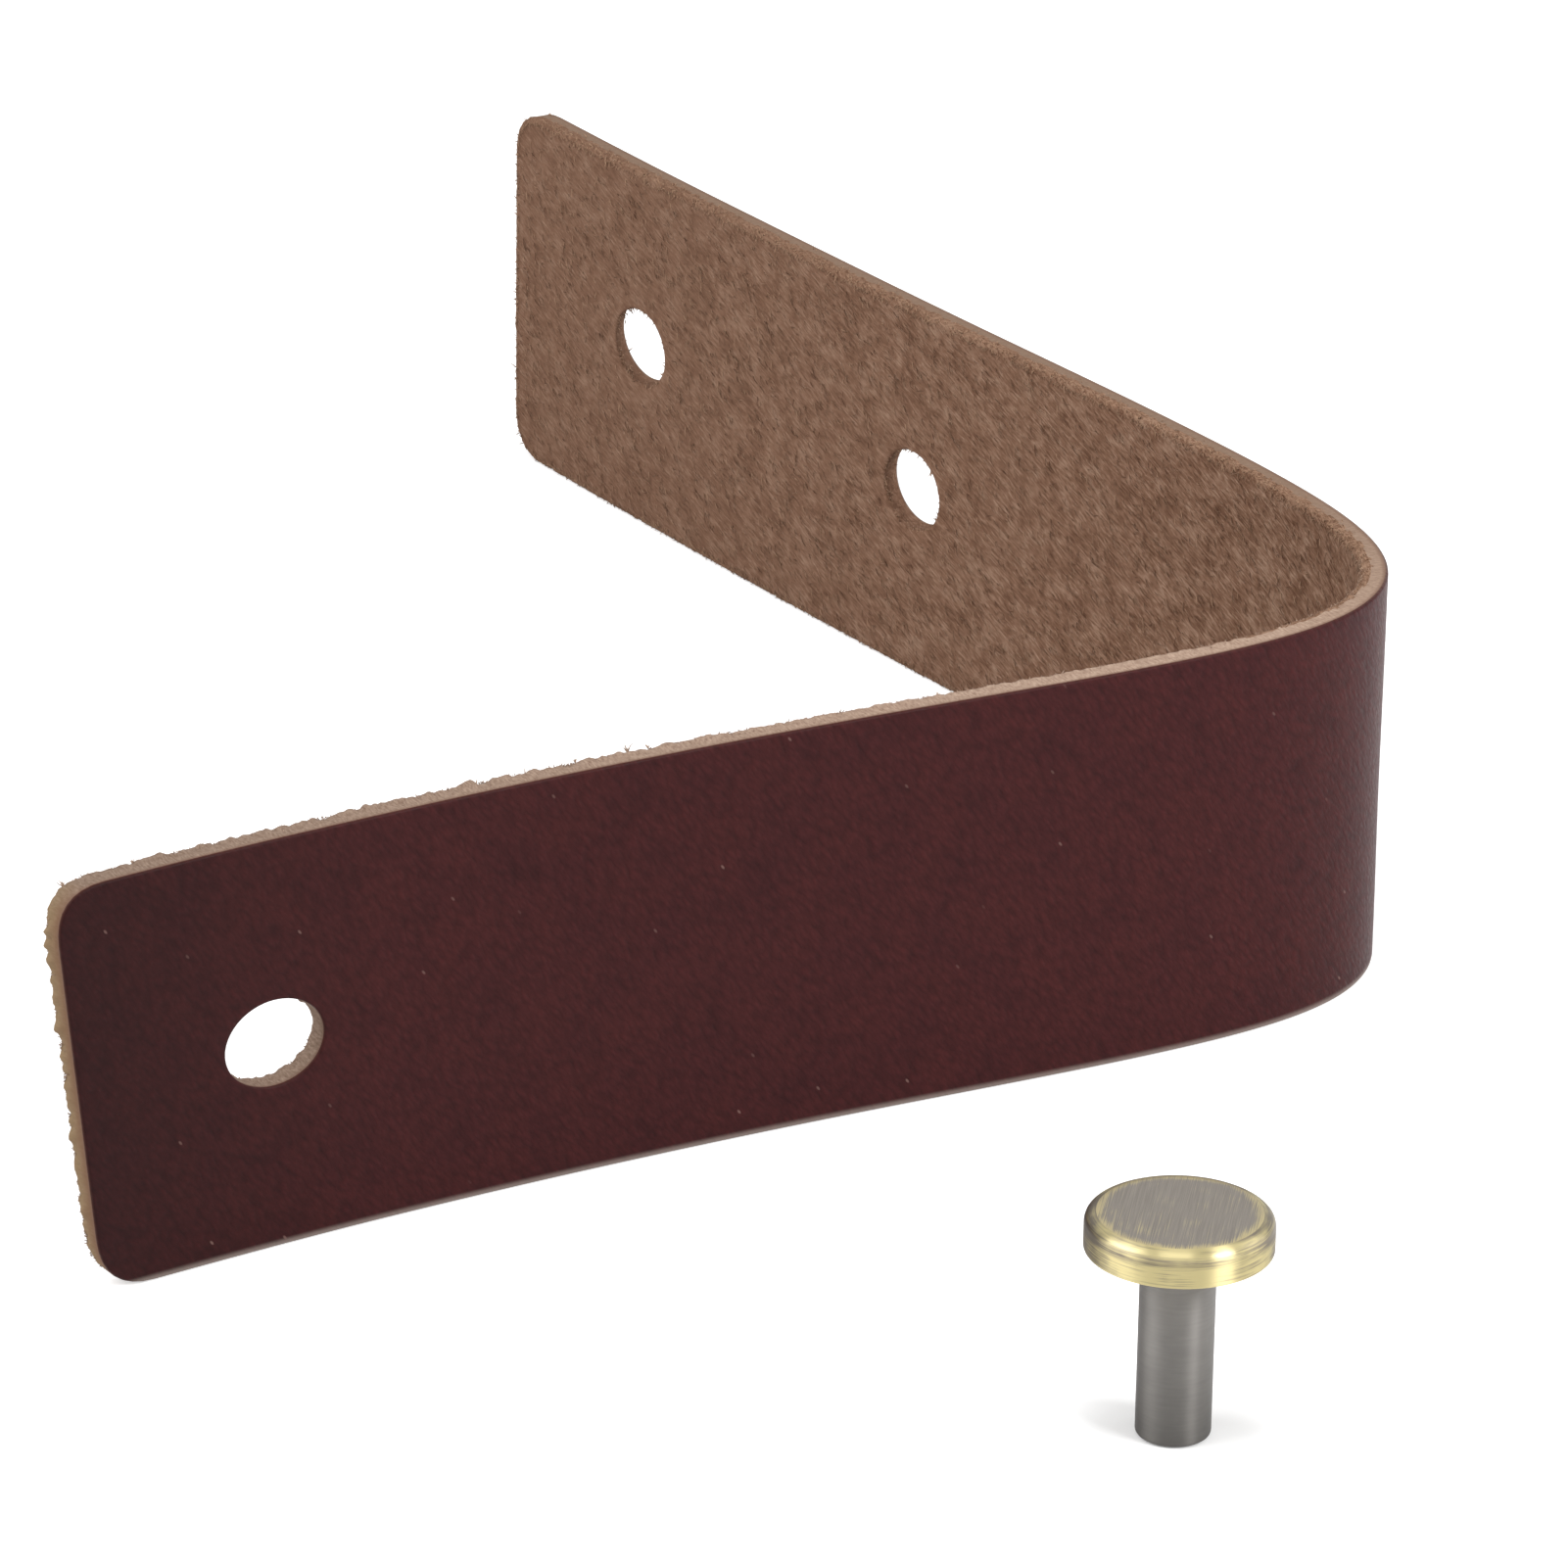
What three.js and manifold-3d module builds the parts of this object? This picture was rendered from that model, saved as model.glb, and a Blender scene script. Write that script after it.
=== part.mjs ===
// Leather cabinet pull: a die-cut strap, bent over into two legs, and the turned stud that fixes it.
// Millimetres, +Z up. The strap stands on its long edge with the front leg along X and the back leg
// along Y; the stud stands beside it on the end of its shank. The origin is under the middle of both.

import * as THREE from "three";
import { mergeVertices } from "three/addons/utils/BufferGeometryUtils.js";
import Module from "manifold-3d";

const wasm = await Module();
wasm.setup();

const RAD = Math.PI / 180;

// Strap blank, measured flat
const STRAP_LENGTH = 230;
const STRAP_WIDTH = 30;
const STRAP_THICKNESS = 2;
const CORNER_RADIUS = 4;
const EDGE_ROLL = 0.4; // rounding that the cutting die leaves on the grain side
const FRONT_END_SKEW = 6.5 * RAD; // the front end is cut out of square, longer at its upper corner

// Holes, each on the middle line of the strap
const FRONT_HOLE_INSET = 15.5;
const BACK_HOLE_INSET = 19.5;
const BACK_HOLE_SPACING = 38;
const HOLE_CLEARANCE = 1; // all round the stud's shank

// Bend: the fold's turn is spread over a soft length, and both legs spring back in a slight bow
const FOLD_INSET = 106.5; // from the front end to the middle of the fold
const FOLD_ANGLE = 114 * RAD;
const FOLD_SOFTNESS = 13.3;
const FRONT_BOW = 19.5 * RAD;
const BACK_BOW = 7.5 * RAD;
const FRONT_END_HEADING = 6.1 * RAD; // from X, so that the front leg as a whole lies along X

// Stud
const SHANK_DIAMETER = 5;
const SHANK_LENGTH = 13.3;
const SHANK_END_ROUND = 0.35;
const HEAD_DIAMETER = 12.45;
const HEAD_THICKNESS = 2.55;
const HEAD_FLAT_DIAMETER = 10.95;
const SHOULDER_DROP = 0.85;
const SHOULDER_LIP = 0.2; // how far the shoulder falls before it turns down to the band
const HEAD_EDGE_ROUND = 0.2;
const NECK_FILLET = 0.25;
const BORE_DIAMETER = 3.3; // tapping size of an M4 thread
const BORE_DEPTH = 10;
const BORE_POINT_ANGLE = 59 * RAD; // half angle of the drill's point
const BORE_COUNTERSINK = 0.15;
const STUD_FROM_FRONT_END = new THREE.Vector2(54.6, -51.7); // across the floor, from the front end

// Fineness of the facets
const STRAP_STEP = 1.5;
const ROUND_STEPS = 3;
const CORNER_STEPS = 8;
const HOLE_SEGMENTS = 48;
const STUD_SEGMENTS = 64;
const CUT_MARGIN = 3; // how far a cutter runs past what it cuts

const strapLeather = new THREE.MeshStandardMaterial({ color: 0x452828, roughness: 0.55, metalness: 0 });
const antiquedBrass = new THREE.MeshStandardMaterial({ color: 0xa89a72, roughness: 0.35, metalness: 1 });

/** A closed three.js geometry as a solid, its shared vertices merged and empty triangles left out. */
function solidOf(geometry) {
  const bare = geometry.clone();
  bare.deleteAttribute("normal");
  bare.deleteAttribute("uv");
  const merged = mergeVertices(bare, 1e-5);
  const corners = merged.index.array;
  const kept = [];
  for (let i = 0; i < corners.length; i += 3) {
    const [a, b, c] = [corners[i], corners[i + 1], corners[i + 2]];
    if (a !== b && b !== c && c !== a) kept.push(a, b, c);
  }
  return new wasm.Manifold(
    new wasm.Mesh({
      numProp: 3,
      vertProperties: new Float32Array(merged.attributes.position.array),
      triVerts: new Uint32Array(kept),
    }),
  );
}

/** A solid as a named mesh. */
function meshOf(solid, name, material) {
  const { vertProperties, triVerts } = solid.getMesh();
  const geometry = new THREE.BufferGeometry();
  geometry.setAttribute("position", new THREE.BufferAttribute(vertProperties, 3));
  geometry.setIndex(new THREE.BufferAttribute(triVerts, 1));
  geometry.computeVertexNormals();
  const mesh = new THREE.Mesh(geometry, material);
  mesh.name = name;
  return mesh;
}

/** The quarter turn from one point to another that bulges towards the corner between them. */
function roundBetween(from, corner, to, steps = ROUND_STEPS) {
  return new THREE.QuadraticBezierCurve(from, corner, to).getPoints(steps);
}

/** Share of the fold's turn that lies before a place on the strap, in a smooth step. */
function foldShare(along) {
  const step = (place) => {
    const reach = (place - FOLD_INSET) / FOLD_SOFTNESS;
    return reach / Math.sqrt(1 + reach * reach);
  };
  return (step(along) - step(0)) / (step(STRAP_LENGTH) - step(0));
}

/** Direction of the strap in plan at a place along it, as an angle from X. */
function headingAt(along) {
  const frontPart = Math.min(along, FOLD_INSET) / FOLD_INSET;
  const backPart = Math.max(along - FOLD_INSET, 0) / (STRAP_LENGTH - FOLD_INSET);
  return FRONT_END_HEADING + FOLD_ANGLE * foldShare(along) - FRONT_BOW * frontPart - BACK_BOW * backPart;
}

/** Places of the strap's middle line in plan, summed up from its heading in small steps. */
function middleLine() {
  const stepsPerMillimetre = 10;
  const first = -CUT_MARGIN;
  const count = Math.ceil((STRAP_LENGTH + 2 * CUT_MARGIN) * stepsPerMillimetre);
  const points = [new THREE.Vector2(0, 0)];
  for (let i = 0; i < count; i += 1) {
    const heading = headingAt(first + (i + 0.5) / stepsPerMillimetre);
    const step = new THREE.Vector2(Math.cos(heading), Math.sin(heading)).divideScalar(stepsPerMillimetre);
    points.push(points[i].clone().add(step));
  }
  const placeOf = (along) => {
    const place = THREE.MathUtils.clamp((along - first) * stepsPerMillimetre, 0, count);
    const before = Math.min(Math.floor(place), count - 1);
    return points[before].clone().lerp(points[before + 1], place - before);
  };
  const start = placeOf(0);
  return (along) => placeOf(along).sub(start);
}

const middleAt = middleLine();

/** The frame of the bent strap at a place: x along it, y out of the flesh side, z up its width. */
function frameAt(along) {
  const middle = middleAt(along);
  const place = new THREE.Matrix4().makeTranslation(middle.x, middle.y, STRAP_WIDTH / 2);
  return place.multiply(new THREE.Matrix4().makeRotationZ(headingAt(along)));
}

/** Bends a flat geometry, whose x runs along the strap, round the middle line. */
function bend(geometry) {
  const positions = geometry.attributes.position;
  const point = new THREE.Vector3();
  for (let i = 0; i < positions.count; i += 1) {
    point.fromBufferAttribute(positions, i);
    const frame = frameAt(point.x);
    point.x = 0;
    point.applyMatrix4(frame);
    positions.setXYZ(i, point.x, point.y, point.z);
  }
  return geometry;
}

/** Section of the strap: x through its thickness with the grain side low, y up its width. */
function strapSection() {
  const halfThick = STRAP_THICKNESS / 2;
  const halfWide = STRAP_WIDTH / 2;
  const roll = Math.min(EDGE_ROLL, halfThick);
  const at = (x, y) => new THREE.Vector2(x, y);
  return new THREE.Shape([
    at(halfThick, -halfWide),
    at(halfThick, halfWide),
    ...roundBetween(at(-halfThick + roll, halfWide), at(-halfThick, halfWide), at(-halfThick, halfWide - roll)),
    ...roundBetween(at(-halfThick, -halfWide + roll), at(-halfThick, -halfWide), at(-halfThick + roll, -halfWide)),
  ]);
}

/** The bent strip before its ends and holes are cut, longer than the strap at both ends. */
function bentStrip() {
  const length = STRAP_LENGTH + 2 * CUT_MARGIN;
  const strip = new THREE.ExtrudeGeometry(strapSection(), {
    depth: length,
    steps: Math.round(length / STRAP_STEP),
    bevelEnabled: false,
  });
  // The extrusion runs along its own Z: turn that to X, thickness to Y and width to Z.
  const turn = new THREE.Matrix4().makeBasis(
    new THREE.Vector3(0, 1, 0),
    new THREE.Vector3(0, 0, 1),
    new THREE.Vector3(1, 0, 0),
  );
  strip.applyMatrix4(turn).translate(-CUT_MARGIN, 0, 0);
  return solidOf(bend(strip));
}

/** What the die cuts away past an end with rounded corners; skew leaves the upper corner longer. */
function endCutter(skew) {
  const halfWide = STRAP_WIDTH / 2;
  const lean = (across) => -across * Math.tan(skew);
  const at = (along, across) => new THREE.Vector2(along + lean(across), across);
  const outside = halfWide + CUT_MARGIN;
  const shape = new THREE.Shape([
    at(-2 * CUT_MARGIN, -outside),
    at(CORNER_RADIUS, -outside),
    ...roundBetween(at(CORNER_RADIUS, -halfWide), at(0, -halfWide), at(0, -halfWide + CORNER_RADIUS), CORNER_STEPS),
    ...roundBetween(at(0, halfWide - CORNER_RADIUS), at(0, halfWide), at(CORNER_RADIUS, halfWide), CORNER_STEPS),
    at(CORNER_RADIUS, outside),
    at(-2 * CUT_MARGIN, outside),
  ]);
  const depth = STRAP_THICKNESS + 2 * CUT_MARGIN;
  const cutter = new THREE.ExtrudeGeometry(shape, { depth, steps: 1, bevelEnabled: false });
  return cutter.translate(0, 0, -depth / 2).rotateX(Math.PI / 2);
}

/** The punch for one hole: plain through the leather, flared where the grain side rolls into it. */
function holePunch() {
  const radius = SHANK_DIAMETER / 2 + HOLE_CLEARANCE;
  const grain = STRAP_THICKNESS / 2;
  const end = grain + CUT_MARGIN;
  const at = (x, y) => new THREE.Vector2(x, y);
  const profile = [
    at(0, -end),
    at(radius + EDGE_ROLL, -end),
    ...roundBetween(at(radius + EDGE_ROLL, -grain), at(radius, -grain), at(radius, -grain + EDGE_ROLL)),
    at(radius, end),
    at(0, end),
  ];
  return new THREE.LatheGeometry(profile, HOLE_SEGMENTS);
}

/** The strap: one piece of leather. */
function buildStrap() {
  const frontEnd = endCutter(FRONT_END_SKEW).applyMatrix4(frameAt(0));
  const backEnd = endCutter(0).rotateZ(Math.PI).applyMatrix4(frameAt(STRAP_LENGTH));
  const backHole = STRAP_LENGTH - BACK_HOLE_INSET;
  const holes = [FRONT_HOLE_INSET, backHole - BACK_HOLE_SPACING, backHole];
  let strap = bentStrip().subtract(solidOf(frontEnd)).subtract(solidOf(backEnd));
  for (const along of holes) {
    strap = strap.subtract(solidOf(holePunch().applyMatrix4(frameAt(along))));
  }
  return meshOf(strap, "strap", strapLeather);
}

/** Profile of the stud from the point of its bore, round the outside, to the middle of its head. */
function studProfile() {
  const at = (x, y) => new THREE.Vector2(x, y);
  const bore = BORE_DIAMETER / 2;
  const shank = SHANK_DIAMETER / 2;
  const head = HEAD_DIAMETER / 2;
  const flat = HEAD_FLAT_DIAMETER / 2;
  const under = SHANK_LENGTH;
  const top = SHANK_LENGTH + HEAD_THICKNESS;
  return [
    at(0, BORE_DEPTH + bore / Math.tan(BORE_POINT_ANGLE)),
    at(bore, BORE_DEPTH),
    at(bore, BORE_COUNTERSINK),
    at(bore + BORE_COUNTERSINK, 0),
    ...roundBetween(at(shank - SHANK_END_ROUND, 0), at(shank, 0), at(shank, SHANK_END_ROUND)),
    ...roundBetween(at(shank, under - NECK_FILLET), at(shank, under), at(shank + NECK_FILLET, under)),
    ...roundBetween(at(head - HEAD_EDGE_ROUND, under), at(head, under), at(head, under + HEAD_EDGE_ROUND)),
    ...roundBetween(at(head, top - SHOULDER_DROP), at(head, top - SHOULDER_LIP), at(flat, top), 2 * ROUND_STEPS),
    at(0, top),
  ];
}

/** The stud: head and shank turned as one piece, with a blind bore for the fixing screw. */
function buildStud() {
  const turned = new THREE.LatheGeometry(studProfile(), STUD_SEGMENTS).rotateX(Math.PI / 2);
  const stud = meshOf(solidOf(turned), "stud", antiquedBrass);
  stud.position.set(STUD_FROM_FRONT_END.x, STUD_FROM_FRONT_END.y, 0);
  return stud;
}

/** Both pieces, moved so that the origin lies on the floor under the middle of their box. */
function buildPull() {
  const pull = new THREE.Group();
  pull.add(buildStrap(), buildStud());
  const middle = new THREE.Box3().setFromObject(pull, true).getCenter(new THREE.Vector3());
  pull.position.set(-middle.x, -middle.y, 0);
  return pull;
}

export default buildPull();
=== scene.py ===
"""Looks of a leather cabinet pull: the bent, punched strap and the turned stud that fixes it.

The strap is meshed flat, in the millimetres of its blank, and is then bent by the law that the
frame's own strap follows. Its materials read those flat coordinates, so grain, nap and cut fibres
follow the bend. The stud is turned from one profile, with its thread cut into the bore.
"""

import logging
import math
from collections.abc import Callable
from dataclasses import dataclass, field
from enum import IntEnum
from functools import partial

import bmesh
import bpy
import numpy as np
from mathutils import Matrix, Vector, geometry, kdtree, noise


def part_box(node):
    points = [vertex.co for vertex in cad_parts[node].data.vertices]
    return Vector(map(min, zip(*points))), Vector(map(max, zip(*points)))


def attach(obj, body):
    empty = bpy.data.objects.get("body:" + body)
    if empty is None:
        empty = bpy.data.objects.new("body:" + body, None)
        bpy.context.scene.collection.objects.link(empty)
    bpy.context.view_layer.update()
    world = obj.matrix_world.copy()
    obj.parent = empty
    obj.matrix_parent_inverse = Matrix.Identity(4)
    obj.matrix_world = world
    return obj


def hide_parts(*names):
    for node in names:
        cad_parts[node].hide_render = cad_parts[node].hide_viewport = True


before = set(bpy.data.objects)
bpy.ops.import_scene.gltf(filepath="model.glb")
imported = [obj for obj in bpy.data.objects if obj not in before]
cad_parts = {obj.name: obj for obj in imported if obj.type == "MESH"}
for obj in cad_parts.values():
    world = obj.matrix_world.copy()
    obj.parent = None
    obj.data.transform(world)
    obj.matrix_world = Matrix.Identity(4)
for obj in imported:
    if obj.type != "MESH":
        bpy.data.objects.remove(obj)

LOG = logging.getLogger("cabinet_pull")
MM = 0.001  # one millimetre in metres
BODY = "root"
BLANK_PLACE = "blank_mm"  # attribute: along, across and through the flat blank, in millimetres
EDGE_GAP = "edge_mm"  # attribute: distance from the nearest cut, in millimetres
FIBRE_TONE = "tone"  # attribute: how pale one fibre is, from 0 to 1
QUARTER_TURN = 0.25  # of an anisotropic reflection, which then spreads up and down
Socket = bpy.types.NodeSocket
Pair = tuple[float, float]
Triple = tuple[float, float, float]
AddNode = Callable[..., Socket]


def linear(hex_colour: str) -> tuple[float, float, float, float]:
    """Turns an sRGB hex colour into the linear colour that a shader socket takes.

    Args:
        hex_colour: Six hex digits after a hash sign.

    Returns:
        Red, green, blue and an alpha of 1.
    """
    channels = [int(hex_colour[i : i + 2], 16) / 255 for i in (1, 3, 5)]
    red, green, blue = ((c / 12.92) if c <= 0.04045 else ((c + 0.055) / 1.055) ** 2.4 for c in channels)
    return red, green, blue, 1.0


def add_node(
    tree: bpy.types.NodeTree, kind: str, inputs: dict | None = None, output: int | str = 0, **settings: str
) -> Socket | None:
    """Adds one shader node, sets its properties, and fills or links its inputs.

    Args:
        tree: The node tree to add to.
        kind: The node's Blender type name, less the ShaderNode that it starts with.
        inputs: Input names or numbers, each with a value, a hex colour or the output that feeds it.
        output: Name or number of the output to return.
        settings: Property names and their values.

    Returns:
        That output, or nothing for a node that has none.
    """
    node = tree.nodes.new("ShaderNode" + kind)
    for name, value in settings.items():
        setattr(node, name, value)
    for name, value in (inputs or {}).items():
        if isinstance(value, Socket):
            tree.links.new(value, node.inputs[name])
        else:
            node.inputs[name].default_value = linear(value) if isinstance(value, str) else value
    return node.outputs[output] if len(node.outputs) else None


def empty_nodes(owner: bpy.types.Material | bpy.types.World) -> AddNode:
    """Empties the node tree of a material or world, and returns what adds nodes to it."""
    owner.use_nodes = True
    owner.node_tree.nodes.clear()
    return partial(add_node, owner.node_tree)


def add_object(name: str, data: bpy.types.ID) -> bpy.types.Object:
    """Makes an object of a mesh, lamp or camera, and links it to the scene."""
    made = bpy.data.objects.new(name, data)
    bpy.context.scene.collection.objects.link(made)
    return made


def unit(vectors: np.ndarray) -> np.ndarray:
    """Vectors of length 1, one a row."""
    return vectors / np.linalg.norm(vectors, axis=1)[:, None]


def wander(points: np.ndarray, seed: float) -> np.ndarray:
    """Smooth noise at many places.

    Args:
        points: One place a row, in units of the noise's own grain.
        seed: Which of the many noise fields to read.

    Returns:
        One value a place, from about -1 to 1.
    """
    shift = Vector((seed * 7.3, seed * 3.1, seed * 5.7))
    full = np.zeros((len(points), 3))
    full[:, : points.shape[1]] = points
    return np.array([noise.noise(Vector(p) + shift) for p in full.tolist()])


def smooth_step(low: float, high: float, value: np.ndarray) -> np.ndarray:
    """Share of the way from low to high, eased at both ends."""
    share = np.clip((value - low) / (high - low), 0.0, 1.0)
    return share * share * (3 - 2 * share)


def inside_rings(points: np.ndarray, rings: list[np.ndarray]) -> np.ndarray:
    """Whether points lie inside closed rings, by an even or odd count of crossings, so that holes are out."""
    inside = np.zeros(len(points), bool)
    x, y = points.T
    for ring in rings:
        for (x0, y0), (x1, y1) in zip(ring.tolist(), np.roll(ring, -1, axis=0).tolist()):
            if y0 != y1:
                inside ^= ((y0 > y) != (y1 > y)) & (x < x0 + (x1 - x0) * (y - y0) / (y1 - y0))
    return inside


def quarter_round(start: tuple, corner: tuple, end: tuple, steps: int) -> np.ndarray:
    """Points of a quadratic curve from start to end that bulges towards the corner between them."""
    share = np.linspace(0, 1, steps + 1)[:, None]
    start, corner, end = np.array(start), np.array(corner), np.array(end)
    return (1 - share) ** 2 * start + 2 * share * (1 - share) * corner + share**2 * end


# Finishes


@dataclass(frozen=True)
class Ramp:
    """A change from one value to another between two places, with no change before or after them."""

    start: float
    end: float
    low: float = 0.0
    high: float = 1.0

    def of(self, value: Socket) -> dict:
        """Inputs of a node that maps a value by this ramp."""
        return {0: value, 1: self.start, 2: self.end, 3: self.low, 4: self.high}


def coat(add: AddNode, colour: Socket | str, *coats: tuple[Socket, Socket | str]) -> Socket:
    """Lays coats of colour over one another.

    Args:
        add: Adds one node to the material.
        colour: The colour underneath.
        coats: For each coat, the share that it hides of what is under it, and its colour.

    Returns:
        The colour that is seen.
    """
    for share, over in coats:
        colour = add("Mix", {0: share, 6: colour, 7: over}, 2, data_type="RGBA")
    return colour


def combed(add: AddNode, place: Socket, angle: float, length: float, width: float, depth: float) -> Socket:
    """Turns and scales places, so that a pattern of unit size comes out long and narrow.

    Args:
        add: Adds one node to the material.
        place: The places.
        angle: Way that the pattern's length runs, from the first axis.
        length: Length that the pattern's unit becomes.
        width: Its width.
        depth: Its depth.

    Returns:
        The places for the pattern to read.
    """
    turned = add("VectorRotate", {"Vector": place, "Angle": -angle}, rotation_type="Z_AXIS")
    return add("Mapping", {0: turned, "Scale": (1 / length, 1 / width, 1 / depth)})


@dataclass(frozen=True)
class Finish:
    """What every finish shares: a name, and a Principled shader that each kind fills in."""

    name: str
    relief_mm: float = 0.0

    def material(self) -> bpy.types.Material:
        """Makes the finish's material.

        Returns:
            The material, with its nodes linked to the output.
        """
        made = bpy.data.materials.new(self.name)
        add = empty_nodes(made)
        sockets = self.sockets(add)
        if self.relief_mm:
            height = {"Height": sockets.pop("Height"), "Strength": 1.0, "Distance": self.relief_mm * MM}
            sockets["Normal"] = add("Bump", height)
        add("OutputMaterial", {"Surface": add("BsdfPrincipled", sockets)})
        return made

    def sockets(self, add: AddNode) -> dict:
        """Adds the nodes of one kind of finish.

        Args:
            add: Adds one node to the material.

        Returns:
            What each socket of the shader holds or is fed by, and the Height of the relief.
        """
        raise NotImplementedError


@dataclass(frozen=True)
class PigmentedGrain(Finish):
    """Burgundy cow leather, grain side, sprayed with pigment and plated smooth.

    The eye sees a dark, even satin skin with a shallow pebble and a few pale specks of dust. Pores
    are about 0.15 mm apart on such leather and can't show, so the pebble stands for groups of them.
    """

    name: str = "burgundy_pigmented_grain_leather"
    relief_mm: float = 0.04
    dark: str = "#371617"
    light: str = "#3b1818"
    worn: str = "#4e2e24"
    bare: str = "#85705f"
    # Colour of the painted highlight along the lower edge.
    lower_edge_highlight: str = "#998b83"
    dust: str = "#83665f"
    crease_mm: Pair = (0.85, 0.33)  # length and width of a crease between pebbles
    crease_angle: float = math.radians(-52)  # from the strap's length
    fine_scale: float = 1.6  # how many fine grains cross a crease
    crests: Ramp = Ramp(-0.6, 0.5, 0.6, 1.4)  # paler on the pebble's crests, darker in its creases: painted light and shade
    mottle_mm: float = 3.5
    mottled: Ramp = Ramp(0.35, 0.65)
    # Darker towards the front end, and most in its last few centimetres: painted shade.
    grain_shade_along: tuple[Ramp, Ramp] = (Ramp(2.0, 24.0, 0.6, 1.0), Ramp(45.0, 90.0, 0.9, 1.0))
    # The die turns the skin down into the cut, where the pigment is stretched thin and paler. Past the
    # fold it is rubbed to bare leather, and along the lower edge a pale line is a painted highlight.
    turned_down_through: Ramp = Ramp(-0.97, -0.74)
    bare_along: Ramp = Ramp(104.0, 116.0)
    lower_edge_highlight_across: Ramp = Ramp(-14.4, -14.9, 0.0, 0.7)
    dust_apart_mm: float = 4.8
    dust_mm: Pair = (0.05, 0.11)  # radius where a speck starts to fade, and its end
    dust_stretch: float = 1 / 0.45
    dust_strength: Ramp = Ramp(0.35, 1.0, 0.0, 0.75)
    gloss: Ramp = Ramp(0.3, 0.7, 0.38, 0.51)

    def sockets(self, add: AddNode) -> dict:
        """Colour, gloss and pebble of the grain side.

        Args:
            add: Adds one node to the material.

        Returns:
            What each socket of the shader holds or is fed by, and the Height of the relief.
        """
        blank = add("Attribute", output="Vector", attribute_name=BLANK_PLACE)
        place = add("SeparateXYZ", {0: blank}).node.outputs
        length, width = self.crease_mm
        slanted = combed(add, blank, self.crease_angle, length, width, width)
        pebble = add("TexVoronoi", {"Vector": slanted, "Scale": 1.0}, "Distance", feature="SMOOTH_F1")
        fine = add("TexNoise", {"Vector": slanted, "Scale": self.fine_scale, "Detail": 3.0})
        height = add("Math", {0: fine, 1: pebble}, operation="SUBTRACT")
        mottle = add("TexNoise", {"Vector": blank, "Scale": 1 / self.mottle_mm, "Detail": 4.0})
        skin = coat(add, self.dark, (add("MapRange", self.mottled.of(mottle)), self.light))
        # Painted light and shade: paler on the pebble's crests, darker in its creases.
        depth = add("MapRange", self.crests.of(height))
        # Painted shade: the skin is darkened towards the front end.
        for shade_ramp in self.grain_shade_along:
            depth = add("Math", {0: depth, 1: add("MapRange", shade_ramp.of(place[0]))}, operation="MULTIPLY")
        shaded_skin = add("VectorMath", {0: skin, "Scale": depth}, operation="SCALE")
        turned_down = add("MapRange", self.turned_down_through.of(place[2]))
        lightened = coat(add, self.worn, (add("MapRange", self.bare_along.of(place[0])), self.bare))
        # Painted highlight along the lower edge.
        highlight_share = add("MapRange", self.lower_edge_highlight_across.of(place[1]), interpolation_type="SMOOTHSTEP")
        strewn = combed(add, blank, self.crease_angle, self.dust_stretch, 1.0, 1.0)
        cells = {"Vector": strewn, "Scale": 1 / self.dust_apart_mm}
        specks = add("TexVoronoi", cells, voronoi_dimensions="2D").node.outputs
        near, far = (radius / self.dust_apart_mm for radius in self.dust_mm)
        spot = add("MapRange", Ramp(near, far, 1.0, 0.0).of(specks["Distance"]))
        strength = add("MapRange", self.dust_strength.of(specks["Color"]))
        dusty = add("Math", {0: spot, 1: strength}, operation="MULTIPLY")
        return {
            "Base Color": coat(add, shaded_skin, (turned_down, lightened), (highlight_share, self.lower_edge_highlight), (dusty, self.dust)),
            "Roughness": add("MapRange", self.gloss.of(fine)),
            "Specular IOR Level": 0.09,
            "Height": height,
        }


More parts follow.
